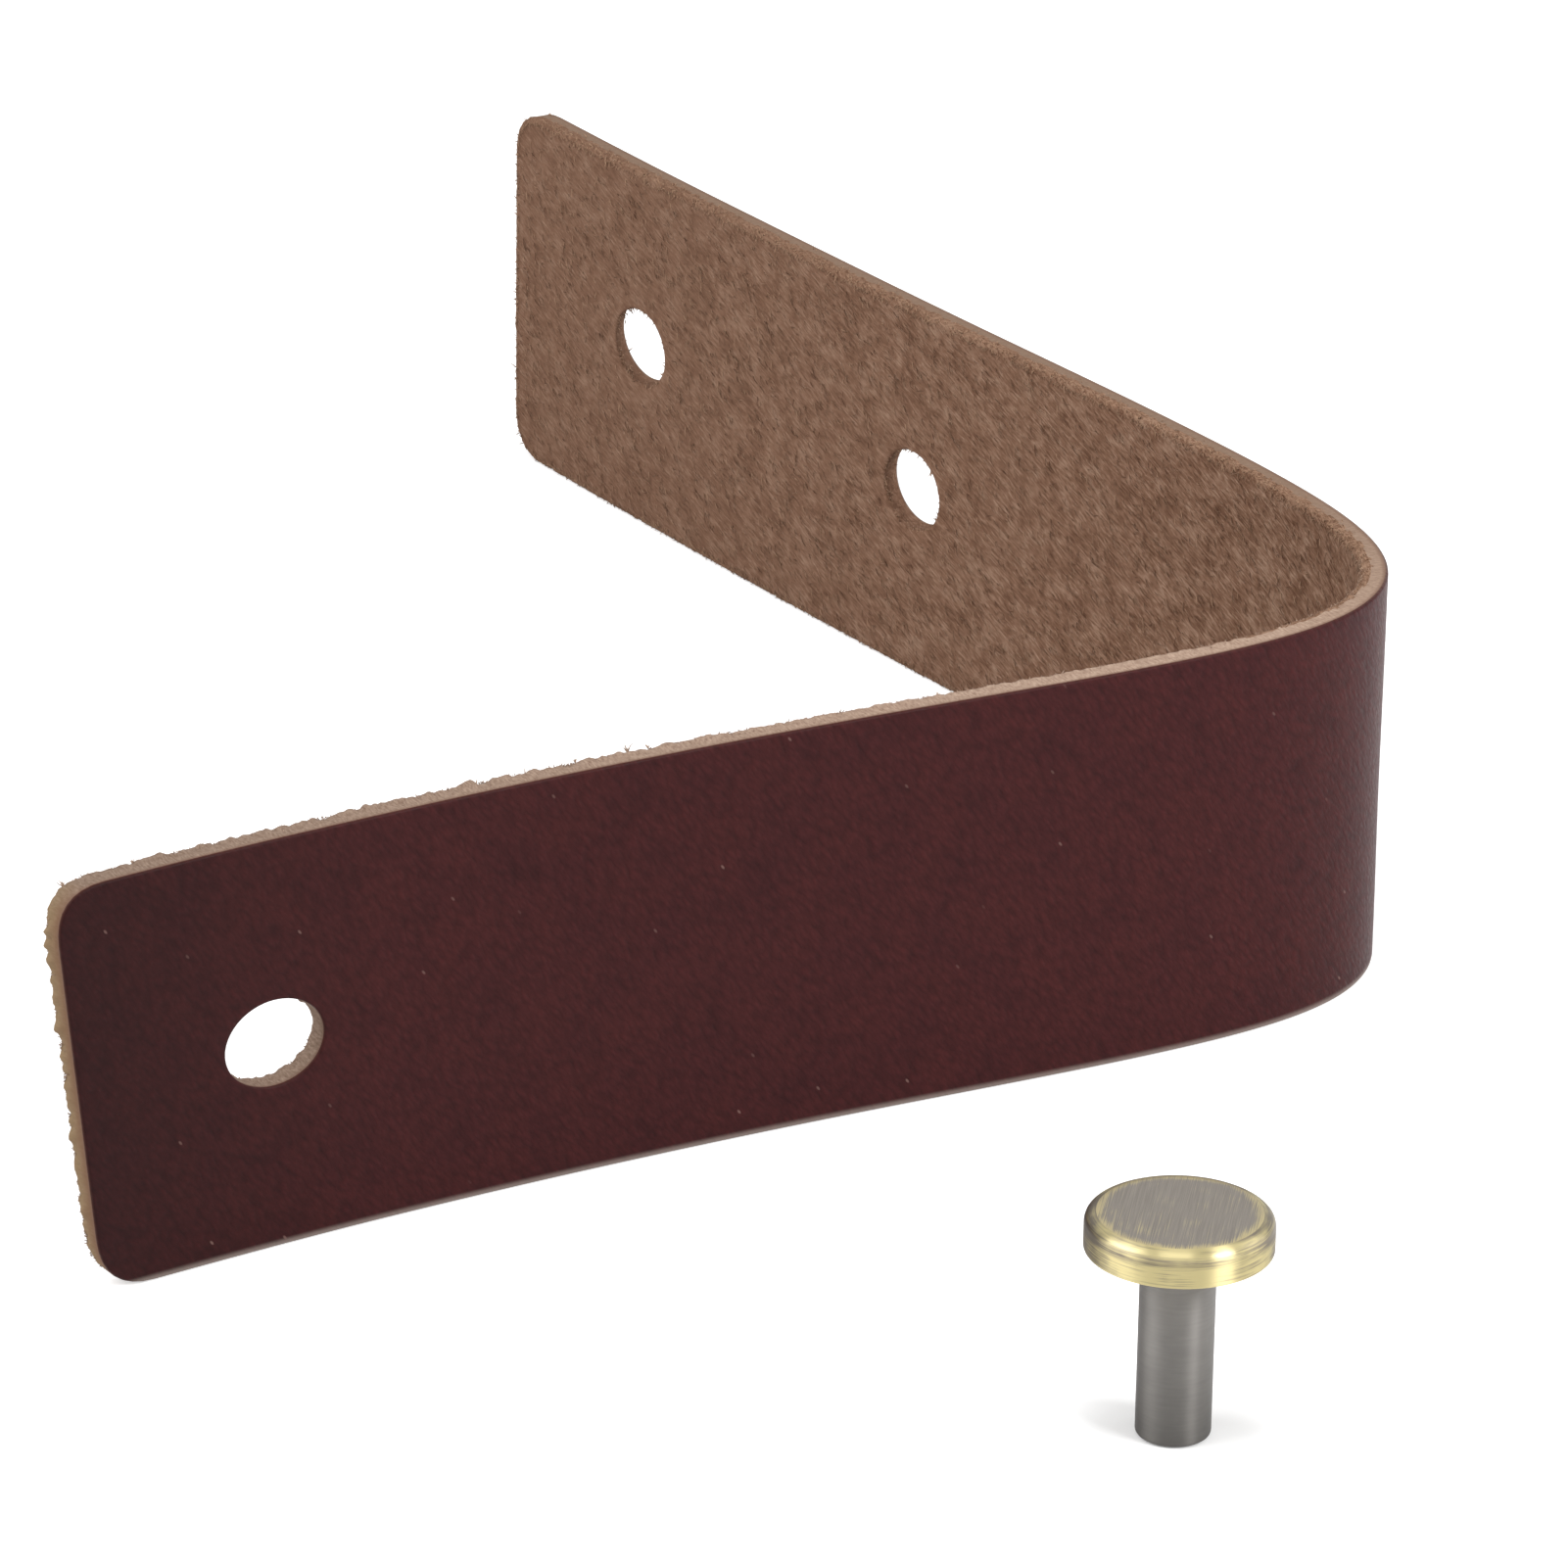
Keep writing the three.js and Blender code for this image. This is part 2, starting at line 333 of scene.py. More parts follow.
@dataclass(frozen=True)
class SuededFlesh(Finish):
    """Brown cow leather, flesh side, split and left as a raised nap.

    The eye sees matt brown mottling made of short combed fibres, darker where the nap lies open.
    Single fibres are about 0.02 mm thick and can't show, so the streaks stand for small bundles.
    """

    name: str = "brown_sueded_flesh_leather"
    relief_mm: float = 0.14
    dark: str = "#573c2d"
    middle: str = "#7e5e4b"
    light: str = "#a48773"
    fringe: str = "#9f8069"
    even: str = "#735747"
    bundle_mm: Pair = (0.95, 0.15)  # length and width of a fibre bundle
    nap_angle: float = math.radians(24)  # from the strap's length
    mottle_mm: float = 1.7
    mottle_share: float = 0.55
    to_middle: Ramp = Ramp(0.56, 0.76)
    to_light: Ramp = Ramp(0.76, 1.0)
    # Fibres that the die dragged over from the cut hide the nap's border in a ragged fringe.
    fringe_fray: float = -2.6
    fringed: Ramp = Ramp(-1.65, -1.0, 0.75, 0.0)
    # The nap lies flatter and evener towards the back end. It is darker towards the fold and paler
    # from 150 mm on: painted shade and light.
    even_along: Ramp = Ramp(125.0, 205.0, 0.0, 0.5)
    fold_shade_along: Ramp = Ramp(150.0, 112.0, 1.06, 0.94)

    def sockets(self, add: AddNode) -> dict:
        """Colour and nap of the flesh side.

        Args:
            add: Adds one node to the material.

        Returns:
            What each socket of the shader holds or is fed by, and the Height of the relief.
        """
        blank = add("Attribute", output="Vector", attribute_name=BLANK_PLACE)
        along = add("SeparateXYZ", {0: blank})
        length, width = self.bundle_mm
        lying = combed(add, blank, self.nap_angle, length, width, width)
        bundles = {"Vector": lying, "Scale": 1.0, "Detail": 4.0, "Roughness": 0.62, "Distortion": 0.5}
        streak = add("TexNoise", bundles)
        mottle = add("TexNoise", {"Vector": blank, "Scale": 1 / self.mottle_mm, "Detail": 4.0, "Roughness": 0.6})
        both = add("Math", {0: mottle, 1: self.mottle_share, 2: streak}, operation="MULTIPLY_ADD")
        gap = add("Attribute", output="Fac", attribute_name=EDGE_GAP)
        frayed = add("Math", {0: streak, 1: self.fringe_fray, 2: gap}, operation="MULTIPLY_ADD")
        napped = coat(
            add, self.dark,
            (add("MapRange", self.to_middle.of(both)), self.middle),
            (add("MapRange", self.to_light.of(both)), self.light),
            (add("MapRange", self.fringed.of(frayed)), self.fringe),
            (add("MapRange", self.even_along.of(along)), self.even),
        )
        # Painted shade: the nap is darker towards the fold.
        fold_shade = add("MapRange", self.fold_shade_along.of(along), interpolation_type="SMOOTHSTEP")
        return {
            "Base Color": add("VectorMath", {0: napped, "Scale": fold_shade}, operation="SCALE"),
            "Roughness": 0.95, "Specular IOR Level": 0.05, "Height": streak,
        }


@dataclass(frozen=True)
class RawCutEdge(Finish):
    """The core of the leather where the die cut it, neither painted nor burnished.

    The eye sees pale pinkish tan fibres that run through the thickness, a darker line under the
    skin, and a yellower tone where the fibres of the front end are seen end on.
    """

    name: str = "raw_cut_leather_edge"
    relief_mm: float = 0.06
    skin_line: str = "#765a4c"
    dark: str = "#846b5b"
    light: str = "#b29a88"
    end_tone: str = "#8d7658"
    end_skin: str = "#76573f"
    nap: str = "#77604f"
    fibre_mm: Pair = (0.14, 0.5)  # along the edge and through it
    fibre_lean: Triple = (0.25, 0.3, 0.0)
    pale: Ramp = Ramp(0.3, 0.68)
    # The core is darker towards the front end and paler towards the fold: painted shade. Past the fold
    # the cut has weathered to the nap's brown.
    edge_shade_along: Ramp = Ramp(5.0, 80.0, 0.66, 1.08)
    weathered_along: Ramp = Ramp(94.0, 128.0, 0.0, 0.78)
    from_end: Ramp = Ramp(0.5, 3.0, 0.8, 0.0)
    end_through: Ramp = Ramp(-0.5, 0.5)
    under_skin_through: Ramp = Ramp(-0.72, -0.48, 0.7, 0.0)

    def sockets(self, add: AddNode) -> dict:
        """Colour and fibres of the cut edge.

        Args:
            add: Adds one node to the material.

        Returns:
            What each socket of the shader holds or is fed by, and the Height of the relief.
        """
        blank = add("Attribute", output="Vector", attribute_name=BLANK_PLACE)
        place = add("SeparateXYZ", {0: blank}).node.outputs
        across, through = self.fibre_mm
        scale = (1 / across, 1 / across, 1 / through)
        standing = add("Mapping", {0: blank, "Rotation": self.fibre_lean, "Scale": scale})
        fibres = add("TexNoise", {"Vector": standing, "Scale": 1.0, "Detail": 4.0, "Roughness": 0.6})
        core = coat(add, self.dark, (add("MapRange", self.pale.of(fibres)), self.light))
        # Painted shade: the core is darker towards the front end.
        edge_shade = add("MapRange", self.edge_shade_along.of(place[0]))
        shaded_core = add("VectorMath", {0: core, "Scale": edge_shade}, operation="SCALE")
        # The front end is cut askew, so its distance is taken from the slanting line.
        skew = {0: place[1], 1: math.tan(Strap().front_end_skew), 2: place[0]}
        near_end = add("MapRange", self.from_end.of(add("Math", skew, operation="MULTIPLY_ADD")))
        end = coat(add, self.end_skin, (add("MapRange", self.end_through.of(place[2])), self.end_tone))
        weathered = add("MapRange", self.weathered_along.of(place[0]))
        under_skin = add("MapRange", self.under_skin_through.of(place[2]))
        return {
            "Base Color": coat(add, shaded_core, (near_end, end), (weathered, self.nap), (under_skin, self.skin_line)),
            "Roughness": 0.9, "Specular IOR Level": 0.15, "Height": fibres,
        }


@dataclass(frozen=True)
class LooseFibre(Finish):
    """Collagen fibres that stand out of the nap and of the cut.

    The eye sees matt strands that run from the nap's brown to nearly the cut edge's tan. The real
    ones are thinner than a pixel, so each strand stands for a bundle.
    """

    name: str = "loose_leather_fibre"
    dark: str = "#5a3f30"
    light: str = "#b59b88"
    tan: str = "#ae8868"
    speckle_mm: float = 0.2
    speckle_share: float = 0.3
    pale: Ramp = Ramp(0.15, 1.15)
    tan_along: Ramp = Ramp(104.0, 116.0, 0.0, 0.6)

    def sockets(self, add: AddNode) -> dict:
        """Colour of the strands, from each strand's own tone.

        Args:
            add: Adds one node to the material.

        Returns:
            What each socket of the shader holds or is fed by.
        """
        tone = add("Attribute", output="Fac", attribute_name=FIBRE_TONE)
        blank = add("Attribute", output="Vector", attribute_name=BLANK_PLACE)
        speckle = add("TexNoise", {"Vector": blank, "Scale": 1 / self.speckle_mm})
        mixed = add("Math", {0: speckle, 1: self.speckle_share, 2: tone}, operation="MULTIPLY_ADD")
        folded = add("MapRange", self.tan_along.of(add("SeparateXYZ", {0: blank})))
        light = coat(add, self.light, (folded, self.tan))
        colour = coat(add, self.dark, (add("MapRange", self.pale.of(mixed)), light))
        return {"Base Color": colour, "Roughness": 0.9, "Specular IOR Level": 0.15}


@dataclass(frozen=True)
class BrushedHeadFace(Finish):
    """Brass plate, blackened and then brushed in straight lines across the flat of the head.

    The eye sees warm grey with fine brassy lines, and bare brass where the brush broke over the
    rim. Brush lines are about 0.05 mm apart and are drawn about twice as coarse, so that they show.
    """

    name: str = "antiqued_brass_straight_brushed"
    relief_mm: float = 0.004
    patina: str = "#979087"
    dark: str = "#827b73"
    brass: str = "#c2b48b"
    line_mm: Pair = (4.5, 0.075)  # length and width of a brush line
    line_heading: float = math.radians(51.5)  # from X
    lined: Ramp = Ramp(0.3, 0.6)
    rim_mm: Ramp = Ramp(4.7, 5.4, 0.0, 0.3)  # the patina wears off towards the rim
    # The brush bit through in patches, so brassy lines are thick in some and missing from others.
    patch_mm: float = 2.5
    patch_share: float = 0.5
    bare: Ramp = Ramp(0.83, 1.05)
    centre_mm: Pair = (0.0, 0.0)

    def sockets(self, add: AddNode) -> dict:
        """Colour, gloss and brush lines of the head's face.

        Args:
            add: Adds one node to the material.

        Returns:
            What each socket of the shader holds or is fed by, and the Height of the relief.
        """
        middle = {"Location": (-self.centre_mm[0], -self.centre_mm[1], 0), "Scale": (1 / MM, 1 / MM, 1 / MM)}
        centred = add("Mapping", {0: add("TexCoord", output="Object"), **middle})
        flat = add("Mapping", {0: centred, "Scale": (1, 1, 0)})
        length, width = self.line_mm
        drawn = combed(add, flat, self.line_heading, length, width, 1.0)
        lines = add("TexNoise", {"Vector": drawn, "Scale": 1.0, "Detail": 3.0, "Roughness": 0.6})
        grey = coat(add, self.dark, (add("MapRange", self.lined.of(lines)), self.patina))
        radius = add("VectorMath", {0: flat}, "Value", operation="LENGTH")
        patch = add("TexNoise", {"Vector": centred, "Scale": 1 / self.patch_mm, "Detail": 2.0})
        bitten = add("Math", {0: patch, 1: self.patch_share, 2: lines}, operation="MULTIPLY_ADD")
        worn = add("Math", {0: bitten, 1: add("MapRange", self.rim_mm.of(radius))}, operation="ADD")
        colour = coat(add, grey, (add("MapRange", self.bare.of(worn)), self.brass))
        return {"Base Color": colour, "Metallic": 1.0, "Roughness": 0.36, "Height": lines}


@dataclass(frozen=True)
class TurnedBrass(Finish):
    """What brass finishes made on the lathe share: level lines that spread a reflection up and down."""

    line_mm: Pair = (1.0, 1.0)  # round the stud and up it
    line_roughness: float = 0.5
    patch_mm: float = 1.0
    patch_detail: float = 2.0
    patch_share: float = 0.8
    spread: float = 1.0

    def turned(self, add: AddNode, place: Socket) -> tuple[Socket, Socket, Socket, dict]:
        """Adds the nodes that all of them have.

        Args:
            add: Adds one node to the material.
            place: Where on the stud, in metres.

        Returns:
            The lines, the patches, both together, and what the shared sockets of the shader hold.
        """
        around, up = (1 / (size * MM) for size in self.line_mm)
        drawn = add("Mapping", {0: place, "Scale": (around, around, up)})
        lines = add("TexNoise", {"Vector": drawn, "Scale": 1.0, "Detail": 3.0, "Roughness": self.line_roughness})
        patches = {"Vector": place, "Scale": 1 / (self.patch_mm * MM), "Detail": self.patch_detail}
        patch = add("TexNoise", patches)
        both = add("Math", {0: patch, 1: self.patch_share, 2: lines}, operation="MULTIPLY_ADD")
        tangent = add("Tangent", direction_type="RADIAL", axis="Z")
        return lines, patch, both, {
            "Metallic": 1.0, "Tangent": tangent, "Anisotropic": self.spread, "Anisotropic Rotation": QUARTER_TURN,
        }


@dataclass(frozen=True)
class BrushedHeadBand(TurnedBrass):
    """Brass plate, blackened and then brushed round on the lathe, so that the brass shows through.

    The eye sees bright brass in fine level lines, with grey patina left in patches. The lines are
    drawn about twice as coarse as the 0.05 mm that such brushing leaves.
    """

    name: str = "antiqued_brass_turned_brushed"
    relief_mm: float = 0.005
    line_mm: Pair = (3.5, 0.1)
    line_roughness: float = 0.6
    patch_mm: float = 2.4
    patina: str = "#81786a"
    brass: str = "#cabd8d"
    lit_towards: float = math.radians(-117)  # from X, the side where brighter brass is a painted highlight
    lightened: Ramp = Ramp(0.1, 0.95, -0.22, 0.14)  # by how much a place faces that way: painted highlight on that side, painted shade on the far side
    # Heights where patina is left under the shoulder: it starts, is fullest, still is, and has ended
    seam_mm: tuple[float, float, float, float] = (14.55, 15.0, 15.25, 15.55)
    seam_broken: Ramp = Ramp(0.35, 0.6)
    seam_patina: float = -0.38
    bare: Ramp = Ramp(0.62, 1.0)
    roughness: Pair = (0.48, 0.34)  # of the band, only brushed, and of the polished shoulder
    centre_mm: Pair = (0.0, 0.0)

    def sockets(self, add: AddNode) -> dict:
        """Colour, gloss and brush lines of the head's band.

        Args:
            add: Adds one node to the material.

        Returns:
            What each socket of the shader holds or is fed by, and the Height of the relief.
        """
        place = add("TexCoord", output="Object")
        lines, patch, both, shared = self.turned(add, place)
        middle = add("Mapping", {0: place, "Location": (-self.centre_mm[0] * MM, -self.centre_mm[1] * MM, 0)})
        level = add("VectorMath", {0: middle, 1: (1, 1, 0)}, operation="MULTIPLY")
        outward = add("VectorMath", {0: level}, operation="NORMALIZE")
        towards = (math.cos(self.lit_towards), math.sin(self.lit_towards), 0)
        facing = add("VectorMath", {0: outward, 1: towards}, "Value", operation="DOT_PRODUCT")
        # Painted highlight and shade, by how much a place faces the lamp's side.
        lightened = add("MapRange", self.lightened.of(facing), interpolation_type="SMOOTHSTEP")
        height = add("SeparateXYZ", {0: place}, 2)
        starts, fullest, still, ends = (mark * MM for mark in self.seam_mm)
        seam = add("MapRange", self.seam_broken.of(patch))
        for side in (Ramp(starts, fullest), Ramp(ends, still)):
            seam = add("Math", {0: seam, 1: add("MapRange", side.of(height))}, operation="MULTIPLY")
        # Random wear of patches and lines, plus the painted highlight and shade by facing.
        worn = add("Math", {0: both, 1: lightened}, operation="ADD")
        kept = add("Math", {0: seam, 1: self.seam_patina, 2: worn}, operation="MULTIPLY_ADD")
        return {
            **shared,
            "Base Color": coat(add, self.patina, (add("MapRange", self.bare.of(kept)), self.brass)),
            "Roughness": add("MapRange", Ramp(fullest, still, *self.roughness).of(height)),
            "Height": lines,
        }


@dataclass(frozen=True)
class DullShankPlate(TurnedBrass):
    """Brass plate, blackened to gunmetal and left as it came from the lathe.

    The eye sees plain satin grey with a soft sheen down one side and faint turning marks.
    """

    name: str = "gunmetal_plated_brass"
    relief_mm: float = 0.001
    line_mm: Pair = (2.0, 0.2)
    patch_mm: float = 1.5
    patch_detail: float = 3.0
    spread: float = 0.85
    dark: str = "#7a7774"
    light: str = "#888581"
    pale: Ramp = Ramp(0.4, 1.4)
    floor_shade_up: Ramp = Ramp(0.0, 12.0 * MM, 0.58, 1.1)  # darker towards the end that stands on the floor: painted shade

    def sockets(self, add: AddNode) -> dict:
        """Colour, gloss and turning marks of the shank.

        Args:
            add: Adds one node to the material.

        Returns:
            What each socket of the shader holds or is fed by, and the Height of the relief.
        """
        place = add("TexCoord", output="Object")
        marks, _, both, shared = self.turned(add, place)
        plated = coat(add, self.dark, (add("MapRange", self.pale.of(both)), self.light))
        # Painted shade: the shank is darker towards the floor.
        floor_shaded = add("MapRange", self.floor_shade_up.of(add("SeparateXYZ", {0: place}, 2)))
        colour = add("VectorMath", {0: plated, "Scale": floor_shaded}, operation="SCALE")
        return {**shared, "Base Color": colour, "Roughness": 0.55, "Height": marks}


# Meshes


@dataclass
class MeshPile:
    """Points and faces gathered for one piece, each face with the number of its material."""

    points: list[np.ndarray] = field(default_factory=list)
    faces: list[tuple[int, ...]] = field(default_factory=list)
    zones: list[int] = field(default_factory=list)
    count: int = 0

    def add_points(self, points: np.ndarray) -> np.ndarray:
        """Adds points and returns their numbers."""
        self.points.append(points)
        numbers = np.arange(self.count, self.count + len(points))
        self.count += len(points)
        return numbers

    def add_faces(self, corners: np.ndarray, zone: int) -> None:
        """Adds faces of one zone, given the point numbers of each."""
        self.faces.extend(map(tuple, corners.tolist()))
        self.zones.extend([zone] * len(corners))

    def join_rings(self, lower: np.ndarray, upper: np.ndarray, zone: int) -> None:
        """Joins two closed rings of as many points with a belt of quads."""
        self.add_faces(np.stack([lower, np.roll(lower, -1), np.roll(upper, -1), upper], axis=1), zone)

    def build(self, name: str, placed: np.ndarray, materials: list[bpy.types.Material]) -> bpy.types.Object:
        """Makes the piece.

        Args:
            name: The piece's name.
            placed: Where each point goes, in metres.
            materials: One material for each zone number.

        Returns:
            The new object, linked to the scene and shaded smooth.
        """
        mesh = bpy.data.meshes.new(name)
        mesh.from_pydata(placed.tolist(), [], self.faces)
        for material in materials:
            mesh.materials.append(material)
        mesh.polygons.foreach_set("material_index", self.zones)
        shell = bmesh.new()
        shell.from_mesh(mesh)
        bmesh.ops.recalc_face_normals(shell, faces=shell.faces)
        shell.to_mesh(mesh)
        shell.free()
        mesh.shade_smooth()
        return add_object(name, mesh)


def write_attribute(mesh: bpy.types.Mesh, name: str, kind: str, values: np.ndarray) -> None:
    """Writes one value a point, of Blender's kind, under a name that the materials read."""
    made = mesh.attributes.new(name, kind, "POINT")
    made.data.foreach_set("vector" if kind == "FLOAT_VECTOR" else "value", values.astype(np.float32).ravel())


@dataclass(frozen=True)
class StrapBend:
    """The strap's bend in plan: a soft fold between two legs that spring back in a slight bow."""

    length: float = 230.0
    width: float = 30.0
    fold_inset: float = 106.5
    fold_angle: float = math.radians(114)
    fold_softness: float = 13.3
    front_bow: float = math.radians(19.5)
    back_bow: float = math.radians(7.5)
    front_end_heading: float = math.radians(6.1)
    margin: float = 3.0
    steps_per_mm: int = 10

    def fold_share(self, along: np.ndarray | float) -> np.ndarray | float:
        """Smooth step that the fold's turn follows, before it is scaled to the strap's ends."""
        reach = (along - self.fold_inset) / self.fold_softness
        return reach / np.sqrt(1 + reach * reach)

    def heading(self, along: np.ndarray) -> np.ndarray:
        """Direction of the strap in plan at places along it.

        Args:
            along: Places along the blank, in millimetres.

        Returns:
            Angles from X, in radians.
        """
        first, last = self.fold_share(0.0), self.fold_share(self.length)
        turned = (self.fold_share(along) - first) / (last - first)
        front = np.minimum(along, self.fold_inset) / self.fold_inset
        back = np.maximum(along - self.fold_inset, 0) / (self.length - self.fold_inset)
        return self.front_end_heading + self.fold_angle * turned - self.front_bow * front - self.back_bow * back

    def place(self, flat: np.ndarray) -> np.ndarray:
        """Bends points of the blank.

        Args:
            flat: Along, across and through the blank, in millimetres, the flesh side up.

        Returns:
            The same points, with the front end's middle line over the origin and the lower edge at zero.
        """
        count = math.ceil((self.length + 2 * self.margin) * self.steps_per_mm)
        heading = self.heading(-self.margin + (np.arange(count) + 0.5) / self.steps_per_mm)
        stops = -self.margin + np.arange(count + 1) / self.steps_per_mm
        start = round(self.margin * self.steps_per_mm)
        along, across, through = flat.T
        here = self.heading(along)
        plan = []
        for step, aside in ((np.cos(heading), -np.sin(here)), (np.sin(heading), np.cos(here))):
            line = np.concatenate([[0], np.cumsum(step)]) / self.steps_per_mm
            plan.append(np.interp(along, stops, line - line[start]) + aside * through)
        return np.stack([*plan, across + self.width / 2], axis=1)


class Zone(IntEnum):
    """The three surfaces of the strap, each with its own finish."""

    GRAIN = 0
    CUT = 1
    FLESH = 2


@dataclass(frozen=True)
class Punch:
    """One punched hole: its place and half sizes on the flesh side, and how it differs on the grain side."""

    along: float
    across: float
    long: float
    high: float
    slant: float = 0.0  # how much nearer the back end it comes out
    stretch: float = 0.0  # how much further it reaches each way
    points: int = 96

    def outline(self) -> np.ndarray:
        """Points of the hole's edge on the flesh side."""
        turn = np.linspace(0, 2 * math.pi, self.points, endpoint=False)
        return np.stack([self.along + self.long * np.cos(turn), self.across + self.high * np.sin(turn)], axis=1)


@dataclass
class CutLine:
    """One closed line that the die cuts: where the wall stands, and which way is out of the leather."""

    wall: np.ndarray
    outward: np.ndarray
    hole: bool
    shift: np.ndarray

    @classmethod
    def through_points(cls, points: np.ndarray, spacing: float, punch: Punch | None = None) -> "CutLine":
        """Makes a cut line at even steps along a closed run of points.

        Args:
            points: The line's points, anticlockwise.
            spacing: Step between the new points, in millimetres.
            punch: The hole that the line is the edge of, with the leather outside it.

        Returns:
            The cut line.
        """
        closed = np.vstack([points, points[:1]])
        stops = np.concatenate([[0], np.cumsum(np.linalg.norm(np.diff(closed, axis=0), axis=1))])
        run = np.linspace(0, stops[-1], round(stops[-1] / spacing), endpoint=False)
        wall = np.stack([np.interp(run, stops, closed[:, axis]) for axis in (0, 1)], axis=1)
        ahead = unit(np.roll(wall, -1, axis=0) - np.roll(wall, 1, axis=0))
        outward = np.stack([ahead[:, 1], -ahead[:, 0]], axis=1) * (-1 if punch else 1)
        shift = np.zeros_like(wall)
        if punch:
            shift[:, 0] = punch.slant + punch.stretch * (wall[:, 0] - punch.along) / punch.long
        return cls(wall, outward, punch is not None, shift)

    def at_depth(self, depth: float) -> np.ndarray:
        """The wall's place, from the flesh side at depth 0 to the grain side at depth 1."""
        return self.wall + self.shift * depth


@dataclass
class Strap:
    """The strap: one die-cut piece of leather, punched with three holes and bent over."""

    bend: StrapBend = field(default_factory=StrapBend)
    thickness: float = 2.0
    corner_radius: float = 4.0
    corner_steps: int = 8
    edge_roll: float = 0.22
    roll_steps: int = 4
    wall_rows: int = 8
    wall_end: float = 0.32  # depth under the flesh side where the straight wall ends
    # How the wall turns over into the flesh side: inset, depth under that side, share of the raggedness
    flesh_turn: tuple[Triple, ...] = ((0.04, 0.16, 1.0), (0.14, 0.05, 0.9), (0.34, 0.0, 0.8))
    front_end_skew: float = math.radians(6.5)
    front_trim: float = 0.22  # how far inside the drawn end the die cut
    # The leather has stretched round the punched holes, and those of the back leg lean.
    punches: tuple[Punch, ...] = (
        Punch(15.5, 0.12, 3.85, 3.15), Punch(172.95, 0.0, 3.5, 3.2, 0.7, 0.3), Punch(210.8, 0.0, 3.5, 3.2, 1.3, 0.6),
    )
    rim_step: float = 0.2
    box_step: float = 0.25
    flesh_step: float = 0.5
    grain_step: float = 1.0
    ragged: float = 0.2  # how far the cut strays on the flesh side
    ragged_from: Pair = (-0.6, 0.7)  # places through the leather where that starts, and is full
    clean: float = 0.4  # share of the raggedness past the fold
    # What is added to that share towards the front end: from where, up to where, and how much
    rougher: tuple[Triple, ...] = ((95.0, 50.0, 0.35), (50.0, 25.0, 0.45))
    # Slow, quick and torn waves of the cut: their size along it, size through it, and share
    waves: tuple[Triple, ...] = ((1.7, 2.0, 0.7), (0.45, 0.7, 1.0), (0.8, 1.4, 2.2))
    torn_from: float = 0.15
    hole_waves: Pair = (0.6, 0.5)  # shares of those waves and of the quick one in a hole
    standing: float = -0.5  # how far down a cut faces, where it stands on the floor
    nap_height: float = 0.05
    nap_streak: Pair = (1.5, 0.6)  # length and width
    nap_swell: float = 3.5
    # Past the fold the nap is dragged over the flesh side's part of the cut: on the outline, and in the holes.
    nap_over_cut: Pair = (0.75, 1.75)
    nap_over_from: Pair = (72.0, 122.0)
    nap_over_wave: Pair = (0.16, 0.6)  # height and size of its wavy border
    ripple: float = 0.07  # how far the whole strap strays from its bend
    ripple_size: Pair = (19.0, 13.0)
    # Torn tufts: where along, across and through the blank they root, and how far they stand out
    tufts: tuple[tuple[Triple, float], ...] = (
        ((0.2, 14.7, 0.85), 0.8), ((5.6, 15.0, 0.85), 0.35), ((39.7, 15.0, 0.85), 0.4), ((43.8, 15.0, 0.85), 0.8),
        ((45.4, 15.0, 0.85), 0.4), ((68.2, -15.0, -0.6), 0.3), ((227.0, 15.0, -0.6), 0.45), ((207.2, -1.6, 0.6), 0.6),
    )

    def outline(self, trim: float = 0.0) -> np.ndarray:
        """Outline of the blank.

        Args:
            trim: How far inside the drawn line the front end is cut.

        Returns:
            Its points, anticlockwise, in millimetres along and across.
        """
        half, radius, end, steps = self.bend.width / 2, self.corner_radius, self.bend.length, self.corner_steps
        front = np.vstack([
            quarter_round((radius, half), (0, half), (0, half - radius), steps),
            quarter_round((0, radius - half), (0, -half), (radius, -half), steps),
        ])
        front[:, 0] += trim - front[:, 1] * math.tan(self.front_end_skew)
        back = np.vstack([
            quarter_round((end - radius, -half), (end, -half), (end, radius - half), steps),
            quarter_round((end, half - radius), (end, half), (end - radius, half), steps),
        ])
        return np.vstack([front, back])

    def cut_lines(self) -> list[CutLine]:
        """The outline and the holes as cut lines, the outline first."""
        holes = [CutLine.through_points(punch.outline(), self.rim_step, punch) for punch in self.punches]
        return [CutLine.through_points(self.outline(self.front_trim), self.rim_step), *holes]

    def rim_rows(self) -> np.ndarray:
        """Rows of the rim from the grain side to the flesh side.

        Returns:
            For each row its inset, its place through the leather and its share of the raggedness.
        """
        grain, roll = self.thickness / 2, self.edge_roll
        turn = quarter_round((roll, -grain), (0.0, -grain), (0.0, roll - grain), self.roll_steps)
        wall = np.linspace(roll - grain, grain - self.wall_end, self.wall_rows)[1:]
        rows = [(inset, through, 0.0) for inset, through in turn]
        rows += [(0.0, through, smooth_step(*self.ragged_from, through)) for through in wall]
        rows += [(inset, grain - depth, share) for inset, depth, share in self.flesh_turn]
        return np.array(rows)

    def stray(self, line: CutLine, through: float) -> np.ndarray:
        """How far the cut strays outward along a line at one depth, before the row's share.

        Args:
            line: The cut line.
            through: Place through the leather, in millimetres.

        Returns:
            One distance a point, in millimetres.
        """
        seed, along = 3.0 if line.hole else 1.0, line.wall[:, 0]
        slow, quick, torn = (
            wander(np.column_stack([line.wall / size, np.full(len(along), through / depth)]), seed + number)
            for number, (size, depth, _) in enumerate(self.waves)
        )
        worse = np.full(len(along), self.clean)
        for far, near, more in self.rougher:
            worse += more * smooth_step(far, near, along)
        shares = [share for _, _, share in self.waves]
        torn = np.clip(torn - self.torn_from, 0, 1)
        strayed = self.ragged * (shares[0] * slow + shares[1] * quick + shares[2] * torn) * worse
        if line.hole:
            return self.hole_waves[0] * strayed + self.hole_waves[1] * self.ragged * np.abs(quick)
        # The long lower edge stands on the floor, so it only strays inward.
        return np.where(line.outward[:, 1] < self.standing, -np.abs(strayed), strayed)

